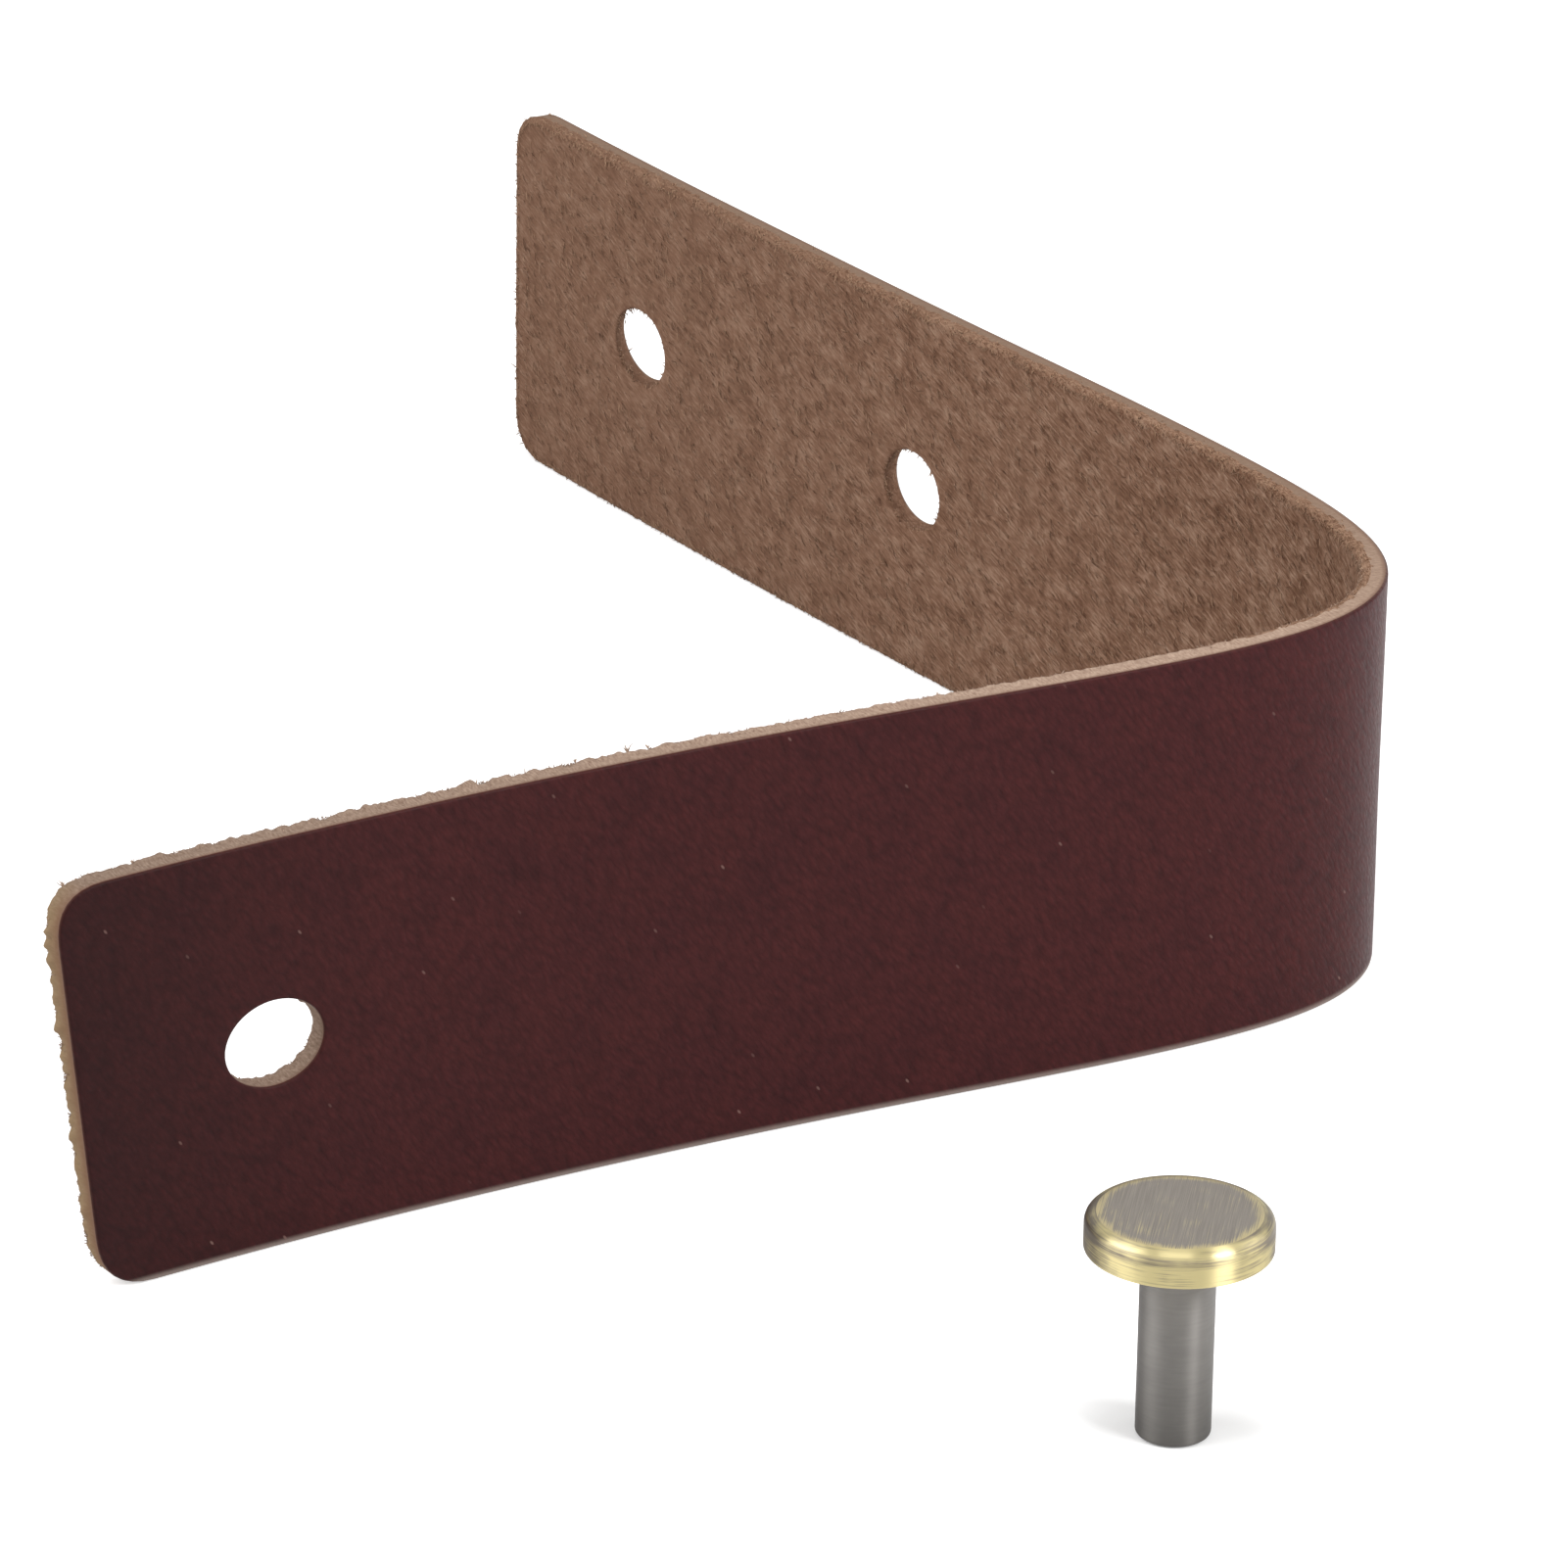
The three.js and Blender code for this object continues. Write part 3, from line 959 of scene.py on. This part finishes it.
    def nap_relief(self, points: np.ndarray) -> np.ndarray:
        """Height of the nap over the flesh side, in millimetres."""
        angle = SuededFlesh().nap_angle
        turned = points @ np.array([[math.cos(angle), -math.sin(angle)], [math.sin(angle), math.cos(angle)]])
        streaks = self.nap_height * wander(turned / np.array(self.nap_streak), 5)
        return streaks + self.nap_height * wander(points / self.nap_swell, 6)

    def edge_gap(self, points: np.ndarray, lines: list[CutLine], depth: float = 0.0) -> np.ndarray:
        """How far inside the leather points lie.

        Args:
            points: Places along and across the blank.
            lines: The cut lines to measure from.
            depth: Where through the leather, 0 on the flesh side and 1 on the grain side.

        Returns:
            Distances from the nearest cut line, below zero outside the leather.
        """
        wall = np.vstack([line.at_depth(depth) for line in lines])
        outward = np.vstack([line.outward for line in lines])
        tree = kdtree.KDTree(len(wall))
        for number, (x, y) in enumerate(wall.tolist()):
            tree.insert((x, y, 0), number)
        tree.balance()
        nearest = np.array([tree.find((x, y, 0))[1] for x, y in points.tolist()])
        return ((wall[nearest] - points) * outward[nearest]).sum(axis=1)

    def fill_side(self, pile: MeshPile, rims: list[np.ndarray], inset: float, step: float, zone: Zone) -> None:
        """Fills one side of the strap between its rims.

        Args:
            pile: The mesh to add to.
            rims: Point numbers of the rim row that each cut line ends in on this side.
            inset: How far those rows lie inside the cut lines.
            step: Distance between the points of the fill.
            zone: The side's zone.
        """
        depth = 0.0 if zone is Zone.FLESH else 1.0
        lines, half = self.cut_lines(), self.bend.width / 2
        rows, columns = np.arange(-half, half, step), np.arange(-self.bend.margin, self.bend.length, step)
        grid = np.stack(np.meshgrid(columns, rows), axis=-1)
        grid[1::2, :, 0] += step / 2
        grid = grid.reshape(-1, 2)
        inside = grid[self.edge_gap(grid, lines, depth) > inset + 0.6 * step]
        height = self.nap_relief(inside) if zone is Zone.FLESH else np.zeros(len(inside))
        flat = np.column_stack([inside, (0.5 - depth) * self.thickness + height])
        numbers = np.concatenate([*rims, pile.add_points(flat)])
        borders = [line.at_depth(depth) - line.outward * inset for line in lines]
        edges, start = [], 0
        for border in borders:
            ring = np.arange(start, start + len(border))
            edges.extend(zip(ring.tolist(), np.roll(ring, -1).tolist()))
            start += len(border)
        places = [Vector(place) for place in np.vstack([*borders, inside]).tolist()]
        made = geometry.delaunay_2d_cdt(places, edges, [], 0, 1e-6)
        own = np.array([min(ids) for ids in made[3]])
        triangles = np.array(made[2])
        corners = np.array([v[:] for v in made[0]])[triangles]
        one, two = corners[:, 1] - corners[:, 0], corners[:, 2] - corners[:, 0]
        area = np.abs(one[:, 0] * two[:, 1] - one[:, 1] * two[:, 0]) / 2
        # Flat triangles bridge the points of a straight edge, and others fill the holes and hollows.
        kept = area > 1e-5
        bridging = np.nonzero((own[triangles] < start).all(axis=1))[0]
        kept[bridging] &= inside_rings(corners[bridging].mean(axis=1), borders)
        pile.add_faces(numbers[own[triangles[kept]]], zone)

    def build_leather(self) -> tuple[MeshPile, np.ndarray]:
        """Meshes the strap flat.

        Returns:
            The mesh and its flat points.
        """
        pile, rows, half = MeshPile(), self.rim_rows(), self.thickness / 2
        grain_rims, flesh_rims = [], []
        for line in self.cut_lines():
            rings = []
            for inset, through, share in rows:
                strayed = -inset + share * self.stray(line, through)
                places = line.at_depth(0.5 - through / self.thickness) + line.outward * strayed[:, None]
                rings.append(pile.add_points(np.column_stack([places, np.full(len(places), through)])))
            napped = self.nap_over_cut[line.hole] * smooth_step(*self.nap_over_from, line.wall[:, 0])
            napped += self.nap_over_wave[0] * wander(line.wall / self.nap_over_wave[1], 4)
            for before, ring, through in zip(rings, rings[1:], rows[1:, 1]):
                skin = through <= self.edge_roll - half + 1e-6
                pile.join_rings(before, ring, Zone.GRAIN if skin else Zone.CUT)
                if not skin:
                    for number in np.nonzero(through > half - napped + 1e-6)[0].tolist():
                        pile.zones[number - len(ring)] = Zone.FLESH
            grain_rims.append(rings[0])
            flesh_rims.append(rings[-1])
        self.fill_side(pile, grain_rims, rows[0, 0], self.grain_step, Zone.GRAIN)
        self.fill_side(pile, flesh_rims, rows[-1, 0], self.flesh_step, Zone.FLESH)
        return pile, np.vstack(pile.points)

    def settle(self, flat: np.ndarray) -> np.ndarray:
        """Puts flat points where the frame's strap is.

        Args:
            flat: Along, across and through the blank, in millimetres.

        Returns:
            The points in the row frame, in metres.
        """
        edge = CutLine.through_points(self.outline(), self.box_step).wall
        sides = [np.column_stack([edge, np.full(len(edge), t)]) for t in (-self.thickness / 2, self.thickness / 2)]
        own_low = self.bend.place(np.vstack(sides)).min(axis=0) * MM
        shift = np.array(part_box("strap")[0]) - own_low
        rippled = flat.copy()
        rippled[:, 2] += self.ripple * wander(flat[:, :2] / np.array(self.ripple_size), 9)
        return self.bend.place(rippled) * MM + shift

    def build(self) -> list[bpy.types.Object]:
        """Builds and dresses the strap and its loose fibres.

        Returns:
            The leather and the fibre pieces.
        """
        pile, flat = self.build_leather()
        finishes = [PigmentedGrain().material(), RawCutEdge().material(), SuededFlesh().material()]
        leather = pile.build("strap_leather_body", self.settle(flat), finishes)
        write_attribute(leather.data, BLANK_PLACE, "FLOAT_VECTOR", flat)
        from_outline = self.edge_gap(flat[:, :2], self.cut_lines()[:1])
        write_attribute(leather.data, EDGE_GAP, "FLOAT", np.maximum(from_outline, 0))
        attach(leather, BODY)
        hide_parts("strap")
        pieces = [leather]
        strand = LooseFibre().material()
        for kind in (NapFibres(), EdgeFibres(), BorderFibres()):
            pile, flat, tone = kind.build(self)
            fibres = pile.build(f"strap_{kind.name}_fibres", self.settle(flat), [strand])
            write_attribute(fibres.data, BLANK_PLACE, "FLOAT_VECTOR", flat)
            write_attribute(fibres.data, FIBRE_TONE, "FLOAT", tone)
            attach(fibres, BODY)
            pieces.append(fibres)
        return pieces


def leaning(out: np.ndarray, sway: np.ndarray, rise: np.ndarray) -> np.ndarray:
    """Unit vectors that lean sideways and up from directions in the sheet."""
    return unit(np.column_stack([out[:, 0] - out[:, 1] * sway, out[:, 1] + out[:, 0] * sway, rise]))


@dataclass(frozen=True)
class Fibres:
    """Loose fibres of one kind, each a closed strand that tapers from its root by a waist to its tip.

    Lengths are in millimetres. A pair is a range, or where its name ends in bell or gamma, the two
    values of that curve of chance.
    """

    name: str
    seed: int
    curl_bell: Pair = (0.0, 0.16)  # sideways, by length
    lift: Pair = (0.08, 0.3)  # upwards, by length
    waist: Triple = (0.5, 0.3, 0.75)  # shares of the length, curl and radius there
    droop: float = 0.8  # share of the lift that the tip keeps
    floor_room: float = 0.02

    def scatter(self, strap: Strap, rng: np.random.Generator) -> tuple[np.ndarray, ...]:
        """Chooses the fibres of one kind.

        Args:
            strap: The strap that they stand on.
            rng: The seeded source of chance.

        Returns:
            Root, direction, up direction, length, radius and tone, one row a fibre.
        """
        raise NotImplementedError

    def build(self, strap: Strap) -> tuple[MeshPile, np.ndarray, np.ndarray]:
        """Meshes the fibres flat.

        Args:
            strap: The strap that they stand on.

        Returns:
            The mesh, its flat points and the tone of each point.
        """
        rng = np.random.default_rng(self.seed)
        root, ahead, up, length, radius, tone = self.scatter(strap, rng)
        side, reach = unit(np.cross(ahead, up)), length[:, None]
        curl = side * rng.normal(*self.curl_bell, (len(root), 1)) * reach
        lift = rng.uniform(*self.lift, (len(root), 1)) * reach
        along, bent, narrowed = self.waist
        waist = root + ahead * reach * along + up * lift + curl * bent
        tip = root + ahead * reach + up * lift * self.droop + curl
        rings = []
        for centre, share in ((root, 1.0), (waist, narrowed)):
            for turn in (90, 210, 330):
                swing = side * math.cos(math.radians(turn)) + up * math.sin(math.radians(turn))
                rings.append(centre + swing * (radius * share)[:, None])
        flat = np.stack([*rings, tip], axis=1).reshape(-1, 3)
        # No strand goes below the strap's lower edge, which stands on the floor.
        flat[:, 1] = np.maximum(flat[:, 1], -strap.bend.width / 2 + self.floor_room)
        pile, points = MeshPile(), len(rings) + 1
        first = pile.add_points(flat)[::points][:, None, None]
        quads = np.array([[0, 1, 4, 3], [1, 2, 5, 4], [2, 0, 3, 5]])
        ends = np.array([[3, 4, 6], [4, 5, 6], [5, 3, 6], [2, 1, 0]])
        pile.add_faces((first + quads).reshape(-1, 4), 0)
        pile.add_faces((first + ends).reshape(-1, 3), 0)
        return pile, flat, np.repeat(tone, points)


@dataclass(frozen=True)
class NapFibres(Fibres):
    """Strands of the nap, which lie combed and never reach past a cut."""

    name: str = "nap"
    seed: int = 12
    count: int = 15500
    root_depth: float = 0.03
    length: Pair = (0.4, 1.3)
    cut_room: Pair = (0.25, 0.75)  # least distance from a cut: in itself, and by length
    sway_bell: Pair = (0.0, 0.35)
    radius: Pair = (0.018, 0.04)
    tone: Pair = (-0.1, 0.9)

    def scatter(self, strap: Strap, rng: np.random.Generator) -> tuple[np.ndarray, ...]:
        """Chooses strands all over the flesh side.

        Args:
            strap: The strap that they stand on.
            rng: The seeded source of chance.

        Returns:
            Root, direction, up direction, length, radius and tone, one row a fibre.
        """
        half = strap.bend.width / 2
        along, across = rng.uniform(0, strap.bend.length, self.count), rng.uniform(-half, half, self.count)
        root = np.column_stack([along, across, np.full(self.count, strap.thickness / 2 - self.root_depth)])
        length = rng.uniform(*self.length, self.count)
        clear = strap.edge_gap(root[:, :2], strap.cut_lines()) > self.cut_room[0] + self.cut_room[1] * length
        root, length = root[clear], length[clear]
        angle = SuededFlesh().nap_angle + math.pi + rng.normal(*self.sway_bell, len(root))
        ahead = np.column_stack([np.cos(angle), np.sin(angle), np.zeros(len(root))])
        up = np.tile([0.0, 0.0, 1.0], (len(root), 1))
        radius = rng.uniform(*self.radius, len(root))
        return root, ahead, up, length, radius, rng.uniform(*self.tone, len(root))


@dataclass(frozen=True)
class EdgeFibres(Fibres):
    """Strands that stand out of the cuts, and the tufts that the die tore out."""

    name: str = "edge"
    seed: int = 13
    density: float = 1.6  # strands for each point of a cut line
    depth_gamma: Pair = (1.5, 0.22)  # under the flesh side
    depth: Pair = (0.03, 1.4)
    inset: float = 0.12
    sway_bell: Pair = (0.0, 0.8)
    rise_bell: Pair = (0.35, 0.5)
    length_gamma: Pair = (1.5, 0.06)
    length: Pair = (0.1, 0.4)
    longer: Triple = (95.0, 125.0, 0.7)  # from, up to and by how much, past the fold
    radius: Pair = (0.03, 0.065)
    tone: Pair = (0.35, 0.95)
    tuft: int = 14  # strands of a tuft
    tuft_inset: float = 0.1
    tuft_sway_bell: Pair = (0.0, 0.45)
    tuft_rise_bell: Pair = (0.2, 0.2)
    tuft_length: Pair = (0.25, 1.0)  # by the tuft's reach
    tuft_radius: Pair = (0.035, 0.06)
    tuft_tone: Pair = (0.75, 1.0)

    def scatter(self, strap: Strap, rng: np.random.Generator) -> tuple[np.ndarray, ...]:
        """Chooses strands along every cut line.

        Args:
            strap: The strap that they stand on.
            rng: The seeded source of chance.

        Returns:
            Root, direction, up direction, length, radius and tone, one row a fibre.
        """
        lines = strap.cut_lines()
        picks = [rng.integers(0, len(line.wall), round(len(line.wall) * self.density)) for line in lines]
        wall = np.vstack([line.wall[pick] for line, pick in zip(lines, picks)])
        out = np.vstack([line.outward[pick] for line, pick in zip(lines, picks)])
        count = len(wall)
        through = strap.thickness / 2 - rng.gamma(*self.depth_gamma, count).clip(*self.depth)
        root = np.column_stack([wall - out * self.inset, through])
        sway, rise = rng.normal(*self.sway_bell, count), rng.normal(*self.rise_bell, count)
        ahead = leaning(out, sway, rise)
        up = unit(np.cross(np.column_stack([-out[:, 1], out[:, 0], np.zeros(count)]), ahead))
        length = (self.length[0] + rng.gamma(*self.length_gamma, count)).clip(*self.length)
        start, end, more = self.longer
        length *= 1 + more * smooth_step(start, end, wall[:, 0])
        radius, tone = rng.uniform(*self.radius, count), rng.uniform(*self.tone, count)
        for (along, across, depth), reach in strap.tufts:
            # A tuft's strands fan out of one root.
            near = np.argmin(np.hypot(wall[:, 0] - along, wall[:, 1] - across))
            picked = np.argsort(np.hypot(*(wall - wall[near]).T))[: self.tuft]
            root[picked] = np.append(wall[near] - out[near] * self.tuft_inset, depth)
            fan = np.array([-out[near][1], out[near][0]]) * rng.normal(*self.tuft_sway_bell, (self.tuft, 1))
            ahead[picked] = np.column_stack([out[near] + fan, rng.normal(*self.tuft_rise_bell, self.tuft)])
            up[picked] = np.array([0.0, 0.0, 1.0])
            length[picked] = reach * rng.uniform(*self.tuft_length, self.tuft)
            radius[picked] = rng.uniform(*self.tuft_radius, self.tuft)
            tone[picked] = rng.uniform(*self.tuft_tone, self.tuft)
        return root, ahead, up, length, radius, tone


@dataclass(frozen=True)
class BorderFibres(Fibres):
    """Strands of the outline's cut that the die pressed inwards over the nap."""

    name: str = "border"
    seed: int = 14
    density: int = 3  # strands for each point of the outline
    inset: Pair = (-0.02, 0.4)
    root_depth: float = 0.05
    # Nearer the cut than this they root deeper, by this share of what is missing.
    deeper: Pair = (0.25, 0.5)
    sway_bell: Pair = (0.0, 0.9)
    rise_bell: Pair = (0.12, 0.12)
    length_gamma: Pair = (1.6, 0.14)
    length: Pair = (0.25, 1.0)
    radius: Pair = (0.02, 0.045)
    tone: Pair = (0.3, 1.0)

    def scatter(self, strap: Strap, rng: np.random.Generator) -> tuple[np.ndarray, ...]:
        """Chooses strands along the outline.

        Args:
            strap: The strap that they stand on.
            rng: The seeded source of chance.

        Returns:
            Root, direction, up direction, length, radius and tone, one row a fibre.
        """
        border = strap.cut_lines()[0]
        chosen = rng.integers(0, len(border.wall), len(border.wall) * self.density)
        wall, out, count = border.wall[chosen], border.outward[chosen], len(chosen)
        inset = rng.uniform(*self.inset, (count, 1))
        depth = self.root_depth + self.deeper[1] * (self.deeper[0] - inset).clip(0)
        root = np.column_stack([wall - out * inset, strap.thickness / 2 - depth])
        sway, rise = rng.normal(*self.sway_bell, count), rng.normal(*self.rise_bell, count)
        length = (self.length[0] + rng.gamma(*self.length_gamma, count)).clip(*self.length)
        radius = rng.uniform(*self.radius, count)
        up = np.tile([0.0, 0.0, 1.0], (count, 1))
        return root, leaning(-out, -sway, rise), up, length, radius, rng.uniform(*self.tone, count)


class StudZone(IntEnum):
    """The surfaces of the stud, each with its own finish."""

    SHANK = 0
    BAND = 1
    FLAT = 2


@dataclass
class Stud:
    """The stud: head and shank turned as one piece, with a threaded blind bore."""

    shank_radius: float = 2.5
    shank_length: float = 13.3
    shank_end_round: float = 0.35
    head_radius: float = 6.225
    head_thickness: float = 2.55
    flat_radius: float = 5.475
    flat_edge: float = 0.03
    shoulder_drop: float = 0.85
    shoulder_lip: float = 0.2
    head_edge_round: float = 0.2
    neck_fillet: float = 0.25
    bore_radius: float = 1.65
    bore_depth: float = 10.0
    bore_point_angle: float = math.radians(59)
    mouth_room: float = 0.1
    thread_radius: float = 2.0
    thread_pitch: float = 0.7
    thread_steps: int = 8  # rows for each turn of the thread
    thread_from: float = 0.2
    thread_run_in: Pair = (0.6, 0.8)  # heights over which it fades, at the mouth and at the end
    thread_crest: Pair = (0.15, 0.85)  # shares of the half pitch where a flank starts, and ends
    segments: int = 192

    def bore_rows(self) -> list[Triple]:
        """Rows of the bore from its mouth to the point of the drill.

        Returns:
            For each row its radius, its height and how deep the thread is cut there.
        """
        count = round(self.bore_depth / self.thread_pitch * self.thread_steps)
        first, last = self.thread_run_in
        rows = []
        for height in np.linspace(self.thread_from, self.bore_depth, count):
            fade = min(height / first, (self.bore_depth - height) / last, 1.0)
            rows.append((self.bore_radius, float(height), max(fade, 0.0)))
        tip = self.bore_radius / math.tan(self.bore_point_angle)
        rows += [(self.bore_radius * (1 - s), self.bore_depth + tip * s, 0.0) for s in (0.33, 0.66, 0.95)]
        return rows

    def outer_rows(self) -> list[tuple[float, float, StudZone]]:
        """Rows of the outside from the mouth of the bore, round the shank and head, to the flat's middle.

        Returns:
            For each row its radius, its height and the zone of the belt below it.
        """
        under, top = self.shank_length, self.shank_length + self.head_thickness
        shank, head, flat = self.shank_radius, self.head_radius, self.flat_radius
        toe, neck, edge, rise = self.shank_end_round, self.neck_fillet, self.head_edge_round, self.flat_edge
        shoulder, seam = top - self.shoulder_drop, (flat + 0.05, top - rise)
        runs = (
            (StudZone.SHANK, [(self.thread_radius + self.mouth_room, 0.0)]),
            (StudZone.SHANK, quarter_round((shank - toe, 0), (shank, 0), (shank, toe), 6)),
            (StudZone.SHANK, [(shank, z) for z in np.linspace(toe, under - neck, 14)[1:-1]]),
            (StudZone.SHANK, quarter_round((shank, under - neck), (shank, under), (shank + neck, under), 6)),
            (StudZone.BAND, [(r, under) for r in np.linspace(shank + neck, head - edge, 7)[1:-1]]),
            (StudZone.BAND, quarter_round((head - edge, under), (head, under), (head, under + edge), 6)),
            (StudZone.BAND, [(head, z) for z in np.linspace(under + edge, shoulder, 7)[1:-1]]),
            (StudZone.BAND, quarter_round((head, shoulder), (head, top - self.shoulder_lip), seam, 14)),
            (StudZone.BAND, [(flat - rise, top)]),
            (StudZone.FLAT, [(r, top) for r in np.linspace(flat - rise, 0.25, 14)[1:]]),
        )
        return [(float(r), float(z), zone) for zone, run in runs for r, z in run]

    def build(self) -> list[bpy.types.Object]:
        """Builds and dresses the stud.

        Returns:
            The one piece that it is.
        """
        low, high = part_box("stud")
        centre = np.array([(low.x + high.x) / 2, (low.y + high.y) / 2, low.z])
        angle = np.linspace(0, 2 * math.pi, self.segments, endpoint=False)
        pile = MeshPile()

        def ring(radius: np.ndarray | float, height: float) -> np.ndarray:
            """Adds one ring of points and returns their numbers."""
            points = [radius * np.cos(angle), radius * np.sin(angle), np.full(self.segments, height)]
            return pile.add_points(np.stack(points, axis=1))

        outer = [(ring(radius, height), zone) for radius, height, zone in self.outer_rows()]
        for (lower, _), (upper, zone) in zip(outer, outer[1:]):
            pile.join_rings(lower, upper, zone)
        pile.add_faces(outer[-1][0][None], StudZone.FLAT)
        before = outer[0][0]
        start, end = self.thread_crest
        for radius, height, depth in self.bore_rows():
            phase = (height / self.thread_pitch - angle / (2 * math.pi)) % 1
            groove = np.clip((np.abs(phase - 0.5) * 2 - start) / (end - start), 0, 1)
            here = ring(radius + (self.thread_radius - self.bore_radius) * depth * groove, height)
            pile.join_rings(here, before, StudZone.SHANK)
            before = here
        pile.add_faces(before[None], StudZone.SHANK)
        centre_mm = (centre[0] / MM, centre[1] / MM)
        dressed = (DullShankPlate(), BrushedHeadBand(centre_mm=centre_mm), BrushedHeadFace(centre_mm=centre_mm))
        finishes = [finish.material() for finish in dressed]
        stud = pile.build("stud_turned_body", np.vstack(pile.points) * MM + centre, finishes)
        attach(stud, BODY)
        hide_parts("stud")
        return [stud]


# Studio


@dataclass(frozen=True)
class SoftLamp:
    """A square softbox that points at the object."""

    name: str
    turn: float  # round from X, in degrees
    lift: float  # above the floor, in degrees
    away: float
    side: float
    watts: float

    def build(self, aim: Vector) -> None:
        """Makes the lamp.

        Args:
            aim: The point that it faces.
        """
        lamp = bpy.data.lights.new(self.name, "AREA")
        lamp.shape = "SQUARE"
        lamp.size = self.side
        lamp.energy = self.watts
        turn, lift = math.radians(self.turn), math.radians(self.lift)
        direction = Vector((math.cos(turn) * math.cos(lift), math.sin(turn) * math.cos(lift), math.sin(lift)))
        made = add_object(self.name, lamp)
        made.location = aim + direction * self.away
        made.rotation_euler = direction.to_track_quat("Z", "Y").to_euler()


@dataclass(frozen=True)
class Studio:
    """Plain pale floor, soft lamps and the camera."""

    floor_side: float = 8.0
    floor_drop: float = 0.00005
    floor_white: float = 0.8
    glow: Ramp = Ramp(0.0042, 0.0105, 0.17, 0.5)  # of the floor as it is seen, by metres from the stud
    fill: float = 0.42
    aim: Triple = (0.0, 0.0, 0.01)
    lens_mm: float = 207.42  # on a film 36 mm wide
    camera_place: Triple = (-0.28643, -0.52843, 0.26875)
    camera_turn: float = math.radians(30.04)  # from Y towards X
    camera_pitch: float = math.radians(23.0)
    camera_roll: float = math.radians(0.877)
    lamps: tuple[SoftLamp, ...] = (
        SoftLamp("key_softbox", -66.0, 34.0, 0.6, 0.19, 1.95),
        SoftLamp("right_softbox", -25.0, 30.0, 0.45, 0.25, 0.34),
        SoftLamp("left_softbox", 165.0, 40.0, 0.8, 0.6, 4.4),
        SoftLamp("top_softbox", -122.0, 68.0, 0.9, 0.4, 1.3),
    )

    def seen(self, add: AddNode) -> Socket:
        """Whether a ray is one that shows the background: from the camera, or through or off a surface."""
        path = add("LightPath").node.outputs
        seen = path["Is Camera Ray"]
        for kind in ("Is Glossy Ray", "Is Transmission Ray"):
            seen = add("Math", {0: seen, 1: path[kind]}, operation="MAXIMUM")
        return seen

    def build_floor(self) -> None:
        """Makes the floor: white where it is seen, with the object's shadow kept."""
        half = self.floor_side / 2
        mesh = bpy.data.meshes.new("studio_floor")
        mesh.from_pydata([(-half, -half, 0), (half, -half, 0), (half, half, 0), (-half, half, 0)], [], [(0, 1, 2, 3)])
        floor = add_object("studio_floor", mesh)
        floor.location.z = -self.floor_drop
        material = bpy.data.materials.new("pale_studio_floor")
        add = empty_nodes(material)
        lit = add("BsdfDiffuse", {"Color": (*[self.floor_white] * 3, 1)})
        low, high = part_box("stud")
        reach = {0: add("TexCoord", output="Object"), 1: ((low.x + high.x) / 2, (low.y + high.y) / 2, 0)}
        from_stud = add("VectorMath", reach, "Value", operation="DISTANCE")
        glow = add("Emission", {"Strength": add("MapRange", self.glow.of(from_stud), interpolation_type="SMOOTHSTEP")})
        shown = add("AddShader", {0: lit, 1: glow})
        add("OutputMaterial", {"Surface": add("MixShader", {0: self.seen(add), 1: lit, 2: shown})})
        mesh.materials.append(material)

    def build_world(self) -> None:
        """Makes the world: white where it is seen, and a soft fill elsewhere."""
        world = bpy.data.worlds.new("pale_studio")
        add = empty_nodes(world)
        strength = add("MapRange", Ramp(0.0, 1.0, self.fill, 1.0).of(self.seen(add)))
        add("OutputWorld", {"Surface": add("Background", {"Color": (1, 1, 1, 1), "Strength": strength})})
        bpy.context.scene.world = world

    def build_camera(self) -> None:
        """Makes the camera at the photograph's viewing angle."""
        turn, pitch, roll = self.camera_turn, self.camera_pitch, self.camera_roll
        ahead = Vector((math.sin(turn) * math.cos(pitch), math.cos(turn) * math.cos(pitch), -math.sin(pitch)))
        level = Vector((math.cos(turn), -math.sin(turn), 0))
        upright = level.cross(ahead)
        right = level * math.cos(roll) + upright * math.sin(roll)
        up = upright * math.cos(roll) - level * math.sin(roll)
        lens = bpy.data.cameras.new("product_camera")
        lens.lens = self.lens_mm
        lens.clip_start, lens.clip_end = 0.01, 50
        camera = add_object("product_camera", lens)
        turned = Matrix((right, up, -ahead)).transposed().to_4x4()
        camera.matrix_world = Matrix.Translation(Vector(self.camera_place)) @ turned
        bpy.context.scene.camera = camera

    def build(self) -> None:
        """Builds the camera, the floor, the world and the lamps."""
        bpy.context.scene.view_settings.view_transform = "Standard"
        self.build_camera()
        self.build_floor()
        self.build_world()
        for lamp in self.lamps:
            lamp.build(Vector(self.aim))


def main() -> None:
    """Builds the studio, the strap and the stud."""
    logging.basicConfig(level=logging.INFO, format="%(name)s: %(message)s")
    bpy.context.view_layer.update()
    Studio().build()
    for assembly in (Strap(), Stud()):
        for piece in assembly.build():
            LOG.info("%s: %d faces", piece.name, len(piece.data.polygons))


if __name__ == "__main__":
    main()
